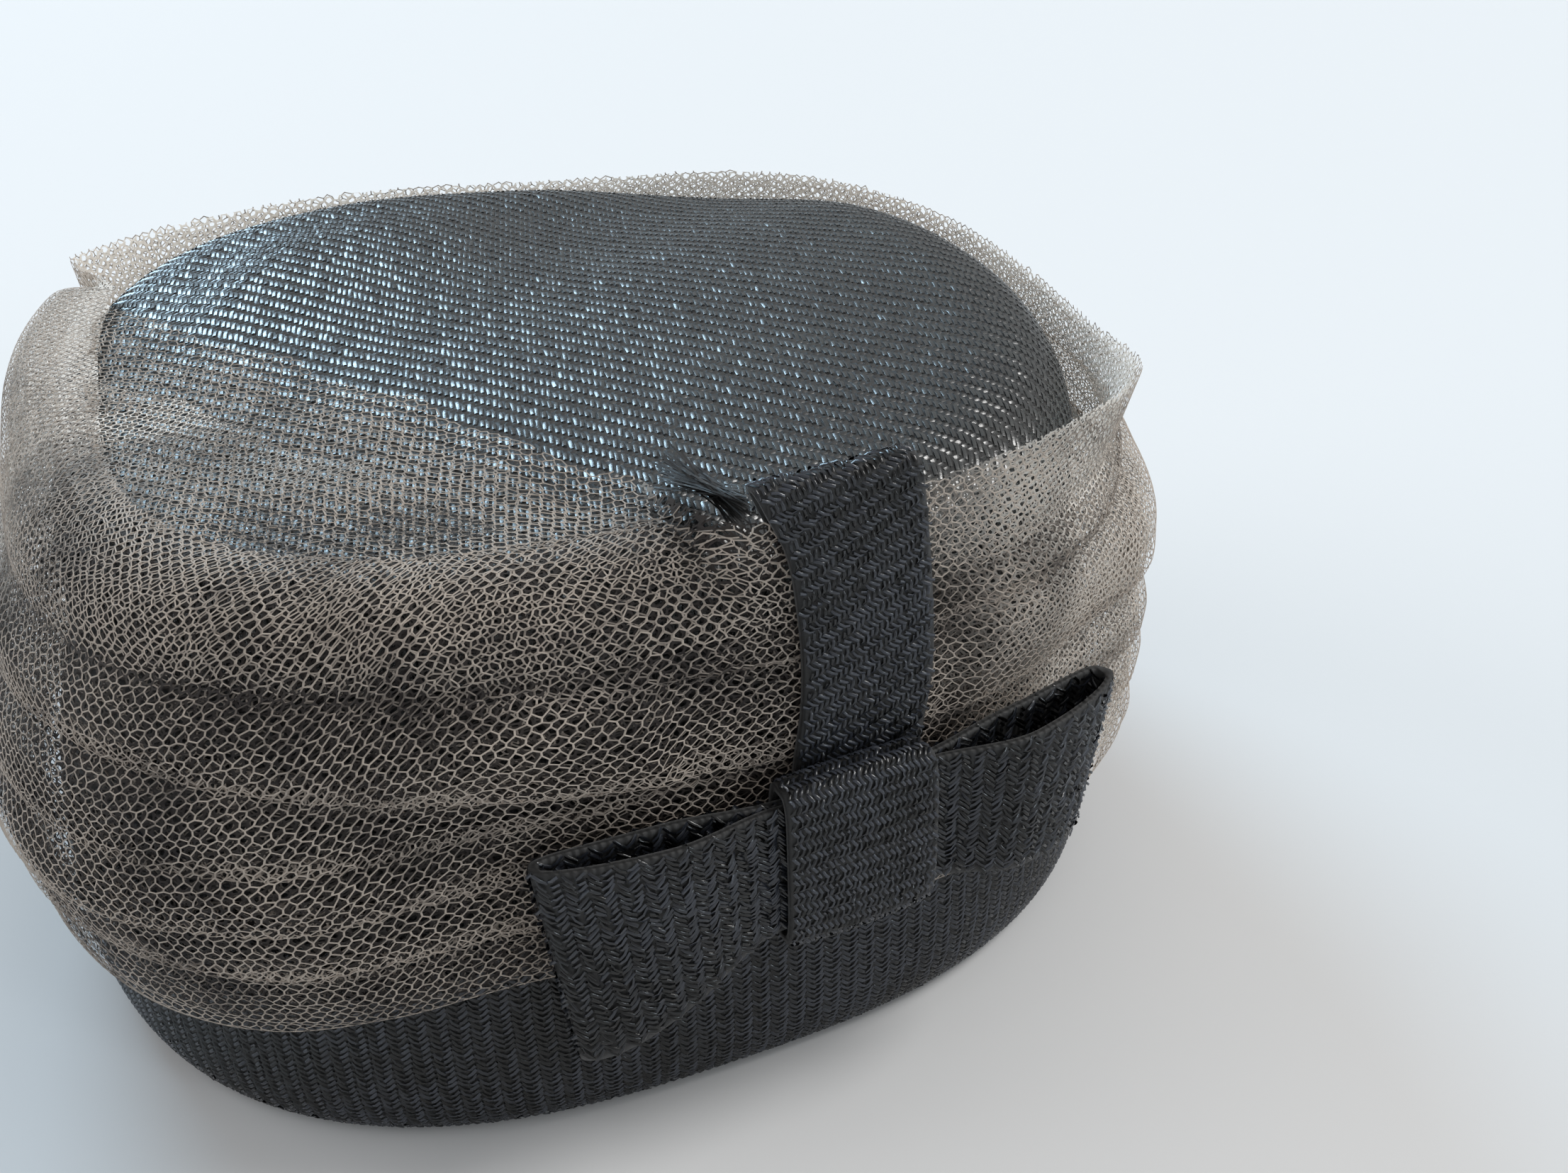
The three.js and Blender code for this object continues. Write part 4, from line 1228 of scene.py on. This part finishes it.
def film_piece(name, layer, net, material, whole=True, steps=40):
    """A layer behind as one sheet, whole or only up to the tip, with the net's cells counted on its map."""
    cloth, lengths, sides = tulle_cloth(layer)[:3]
    around = cloth.xs
    x = np.repeat(np.minimum(around[::2], around[-1] - 1e-6)[:, None], steps, 1)
    y = (lengths if whole else sides)[::2, None] * np.linspace(0.01, 1, steps)
    points = cloth.at(x.ravel(), y.ravel()).reshape(*x.shape, 3)
    mesh = grid_mesh(name, points)
    columns = 2 * round(around[-1] / (FILM_CELL[0] * net.cell_width / MM) / 2)
    rows = y / (FILM_CELL[1] * net.row_pitch / MM)
    cells = np.stack([x / around[-1] * columns, rows], -1).reshape(-1, 2)
    corners = np.empty(len(mesh.loops), np.int32)
    mesh.loops.foreach_get("vertex_index", corners)
    mesh.uv_layers.new(name="net_cells").data.foreach_set("uv", cells[corners].astype(np.float32).ravel())
    return new_object(name, mesh, material_of(material))


def inner_folds(name, layer, net):
    """Folds behind the outer layer: sheets of the same net, close together."""
    folds = []
    for inset in FOLD_INSETS:
        fold = dict(layer, inset=layer["inset"] - inset, short=inset / 2)
        folds.append(film_piece(f"{name}_{len(folds)}", fold, net, "tulle_fold", False, 24))
    with bpy.context.temp_override(active_object=folds[0], selected_editable_objects=folds):
        bpy.ops.object.join()
    folds[0].name = folds[0].data.name = name
    return folds[0]


class HAT_OT_drape_tulle(bpy.types.Operator):
    """Make the tulle: an outer and an under net of threads over folds and a sheet of the same net"""

    bl_idname = "hat.drape_tulle"
    bl_label = "Drape tulle"

    def execute(self, context):
        hat = context.scene.hat
        hems = []
        for number, (key, spans) in enumerate(NET_SPANS.items()):
            layer = TULLE_LAYERS[key]
            cloth, lengths, sides, folds = tulle_cloth(layer)
            seed = hat.seed + 20 + 10 * number
            around = cloth.xs[-1]
            whole = round(around / (hat.net.cell_width / MM))

            def on_side(x, y):
                return (y > 0) & (y < np.interp(np.mod(x, around), cloth.xs, sides))

            for name, shares in spans.items():
                ends = tuple(round(share * whole) * around / whole for share in shares)
                threads = hex_net(cloth, (ends, (0, lengths.max())), hat.net, seed, on_side, folds)
                if name.endswith("left"):
                    threads = joined(threads, self.lap(layer, hat.net, seed))
                self.net(name, threads, 3 - number)
            hems.append(hem_threads(cloth, hat.net, seed + 1))
        self.net("tulle_edges", joined(*hems), 3)
        dress(inner_folds("tulle_folds", TULLE_LAYERS["outer"], hat.net))
        veil = film_piece("tulle_veil", TULLE_LAYERS["veil"], hat.net, "tulle_film")
        dress(veil, "tulle_drape")
        return {"FINISHED"}

    def lap(self, layer, net, seed):
        """Threads of the part of a layer that lies on the tip."""
        span = (-LAP_REACH, LAP_REACH)
        return hex_net(lap_cloth(layer), (span, span), net, seed, lambda x, y: on_lap(x, y, layer))

    def net(self, name, threads, rows):
        ridge = (0.0, bpy.context.scene.hat.net.ridge)
        return dress(lay_fibres(name, threads, (2, rows), ridge, material_of("tulle_thread")))


def frayed_end(end, seed):
    """Loose fibres at a raw end of the trim: they start along its edge and lie about one direction."""
    rng = np.random.default_rng(seed)
    count = end["count"]
    share = rng.random(count)[:, None]
    along = unit(np.array(end["lie"]) + rng.normal(0, end["spread"], (count, 3)))
    length = rng.uniform(*FRAY_LENGTHS, count) * end["length"]
    start = mix(np.array(end["first"]), np.array(end["last"]), share)
    place = (start + along * length[:, None] / 2 - MIDDLE) * MM
    up = unit(np.array([0, 0, 1]) + rng.normal(0, FRAY_ROLL, (count, 3)))
    size = np.stack([length * MM, rng.uniform(*FRAY_WIDTHS, count) * MM, np.ones(count)], 1)
    return dict(place=place, along=along, up=up, size=size, shade=rng.random(count))


class HAT_OT_fold_strap(bpy.types.Operator):
    """Make the strap that folds over the tulle's edge, with its raw end"""

    bl_idname = "hat.fold_strap"
    bl_label = "Fold strap"

    def execute(self, context):
        gap = TULLE_WALL / 2 + SEAM_GAP
        face = strap_cloth(gap + TRIM_WALL)
        mesh = wall_mesh("strap_cloth", face.points, strap_cloth(gap).points, False)
        strap = new_object("strap_cloth", mesh, material_of("straw_ground"))
        dress(strap, "front_strap")
        spans = ((LOOP_MARGIN, face.xs[-1] - LOOP_MARGIN), (STRAP_MARGIN, face.ys[-1] - STRAP_MARGIN))
        floats = weave_over("strap_floats", face, "strap", spans, "trim_fibre", 6)
        loose = joined(*(frayed_end(end, 30 + i) for i, end in enumerate(FRAYED_ENDS)))
        fray = lay_fibres("strap_fray", loose, (4, 2), (FRAY_BEND * MM, 0.0), material_of("straw_ground"))
        dress(fray)
        return {"FINISHED"}


class HAT_OT_tie_bow(bpy.types.Operator):
    """Make the bow: a knot band round the roots of two loops"""

    bl_idname = "hat.tie_bow"
    bl_label = "Tie bow"

    def execute(self, context):
        self.loop("bow_knot", "knot", knot_cloth, 10)
        for i, (node, wing) in enumerate(WINGS.items()):
            self.loop(node, "wing", lambda inset: wing_cloth(wing, inset), 11 + i)
        return {"FINISHED"}

    def loop(self, node, weave, cloth_at, seed):
        """A closed band of trim cloth, woven on its outside and inside."""
        name = node.removeprefix("bow_")
        face, back = cloth_at(0), cloth_at(TRIM_WALL)
        mesh = wall_mesh(name + "_cloth", face.points[:-1], back.points[:-1], True)
        cloth = new_object(name + "_cloth", mesh, material_of("straw_ground"))
        dress(cloth, node)
        inside = Cloth(back.xs[-1] - back.xs[::-1], back.ys, back.points[::-1], wraps=True)
        for side, lining in ((face, "_floats"), (inside, "_lining")):
            spans = ((0, side.xs[-1]), (LOOP_MARGIN, side.ys[-1] - LOOP_MARGIN))
            weave_over(name + lining, side, weave, spans, "trim_fibre", seed)


class HAT_OT_set_stage(bpy.types.Operator):
    """Set the floor, the light and the camera"""

    bl_idname = "hat.set_stage"
    bl_label = "Set stage"

    def execute(self, context):
        scene = context.scene
        self.floor(scene.hat.colours.floor)
        self.light(scene)
        self.camera(scene)
        return {"FINISHED"}

    def floor(self, colour):
        mesh = bpy.data.meshes.new("floor")
        work = bmesh.new()
        bmesh.ops.create_circle(work, cap_ends=True, segments=96, radius=4.0)
        work.to_mesh(mesh)
        work.free()
        material, tree, shader = new_material("floor_paper")
        place = add_node(tree, "ShaderNodeTexCoord").outputs["Object"]
        grained = {"Vector": place, "Scale": pattern_scale(PAPER_GRAIN), "Detail": 2.0}
        grain = add_node(tree, "ShaderNodeTexNoise", grained).outputs["Fac"]
        bump = add_node(tree, "ShaderNodeBump", {"Height": grain, "Strength": 0.05, "Distance": 0.2 * MM})
        connect(tree, shader, {"Normal": bump.outputs[0]})
        shader.inputs["Base Color"].default_value = (*colour, 1)
        shader.inputs["Roughness"].default_value = 0.9
        new_object("floor", mesh, material)

    def light(self, scene):
        world = bpy.data.worlds.new("studio")
        world.use_nodes = True
        tree = world.node_tree
        background = tree.nodes["Background"]
        background.inputs["Color"].default_value = (0.98, 0.99, 1.0, 1)
        outward = add_node(tree, "ShaderNodeTexCoord").outputs["Generated"]
        bright = tuple(Vector(ROOM_BRIGHT_SIDE).normalized())
        facing = add_node(tree, "ShaderNodeVectorMath", {0: outward, 1: bright}, operation="DOT_PRODUCT")
        shading = {0: facing.outputs["Value"], 1: -1.0, 2: 1.0, 3: ROOM_DIM, 4: ROOM_BRIGHT}
        room = add_node(tree, "ShaderNodeMapRange", shading)
        tree.links.new(room.outputs[0], background.inputs["Strength"])
        scene.world = world
        scene.view_settings.view_transform = "Standard"
        for name, origin, width, strength, colour in LIGHTS:
            lamp = bpy.data.lights.new(name, "SUN")
            lamp.angle = math.radians(width)
            lamp.energy = strength
            lamp.color = colour
            light = bpy.data.objects.new(name, lamp)
            light.location = origin
            light.rotation_euler = (-Vector(origin)).to_track_quat("-Z", "Y").to_euler()
            scene.collection.objects.link(light)

    def camera(self, scene):
        azimuth, elevation, roll = (math.radians(v) for v in (CAMERA_AZIMUTH, CAMERA_ELEVATION, CAMERA_ROLL))
        back = Vector((math.sin(azimuth), -math.cos(azimuth), 0)) * math.cos(elevation)
        back.z = math.sin(elevation)
        right = (-back).cross(Vector((0, 0, 1))).normalized()
        up = right.cross(-back)
        c, s = math.cos(roll), math.sin(roll)
        axes = [right * c + up * s, up * c - right * s, back]
        data = bpy.data.cameras.new("photo_camera")
        data.lens = CAMERA_LENS
        data.sensor_width = 36
        data.clip_start = 0.01
        data.clip_end = 20
        camera = bpy.data.objects.new("photo_camera", data)
        target = Vector(CAMERA_TARGET) - Vector(MIDDLE)
        place = (target + back * CAMERA_DISTANCE) * MM
        camera.matrix_world = Matrix.Translation(place) @ Matrix(axes).transposed().to_4x4()
        scene.collection.objects.link(camera)
        scene.camera = camera


class HAT_PT_panel(bpy.types.Panel):
    """The hat's sizes, colours and steps"""

    bl_idname = "HAT_PT_panel"
    bl_label = "Pillbox hat"
    bl_space_type = "VIEW_3D"
    bl_region_type = "UI"
    bl_category = "Hat"

    def draw(self, context):
        hat = context.scene.hat
        for group in (hat.weave, hat.net, hat.colours):
            box = self.layout.box()
            for key in group.__annotations__:
                box.prop(group, key)
        self.layout.prop(hat, "seed")
        for operator in OPERATORS:
            self.layout.operator(operator.bl_idname)


OPERATORS = (
    HAT_OT_weave_tip,
    HAT_OT_weave_band,
    HAT_OT_drape_tulle,
    HAT_OT_fold_strap,
    HAT_OT_tie_bow,
    HAT_OT_set_stage,
)
CLASSES = (WeaveSizes, NetSizes, HatColours, HatProperties, *OPERATORS, HAT_PT_panel)


def register():
    for cls in CLASSES:
        bpy.utils.register_class(cls)
    bpy.types.Scene.hat = PointerProperty(type=HatProperties)


def unregister():
    del bpy.types.Scene.hat
    for cls in reversed(CLASSES):
        bpy.utils.unregister_class(cls)


def main():
    register()
    bpy.ops.hat.weave_tip()
    bpy.ops.hat.weave_band()
    bpy.ops.hat.drape_tulle()
    bpy.ops.hat.fold_strap()
    bpy.ops.hat.tie_bow()
    bpy.ops.hat.set_stage()


if __name__ == "__main__":
    main()
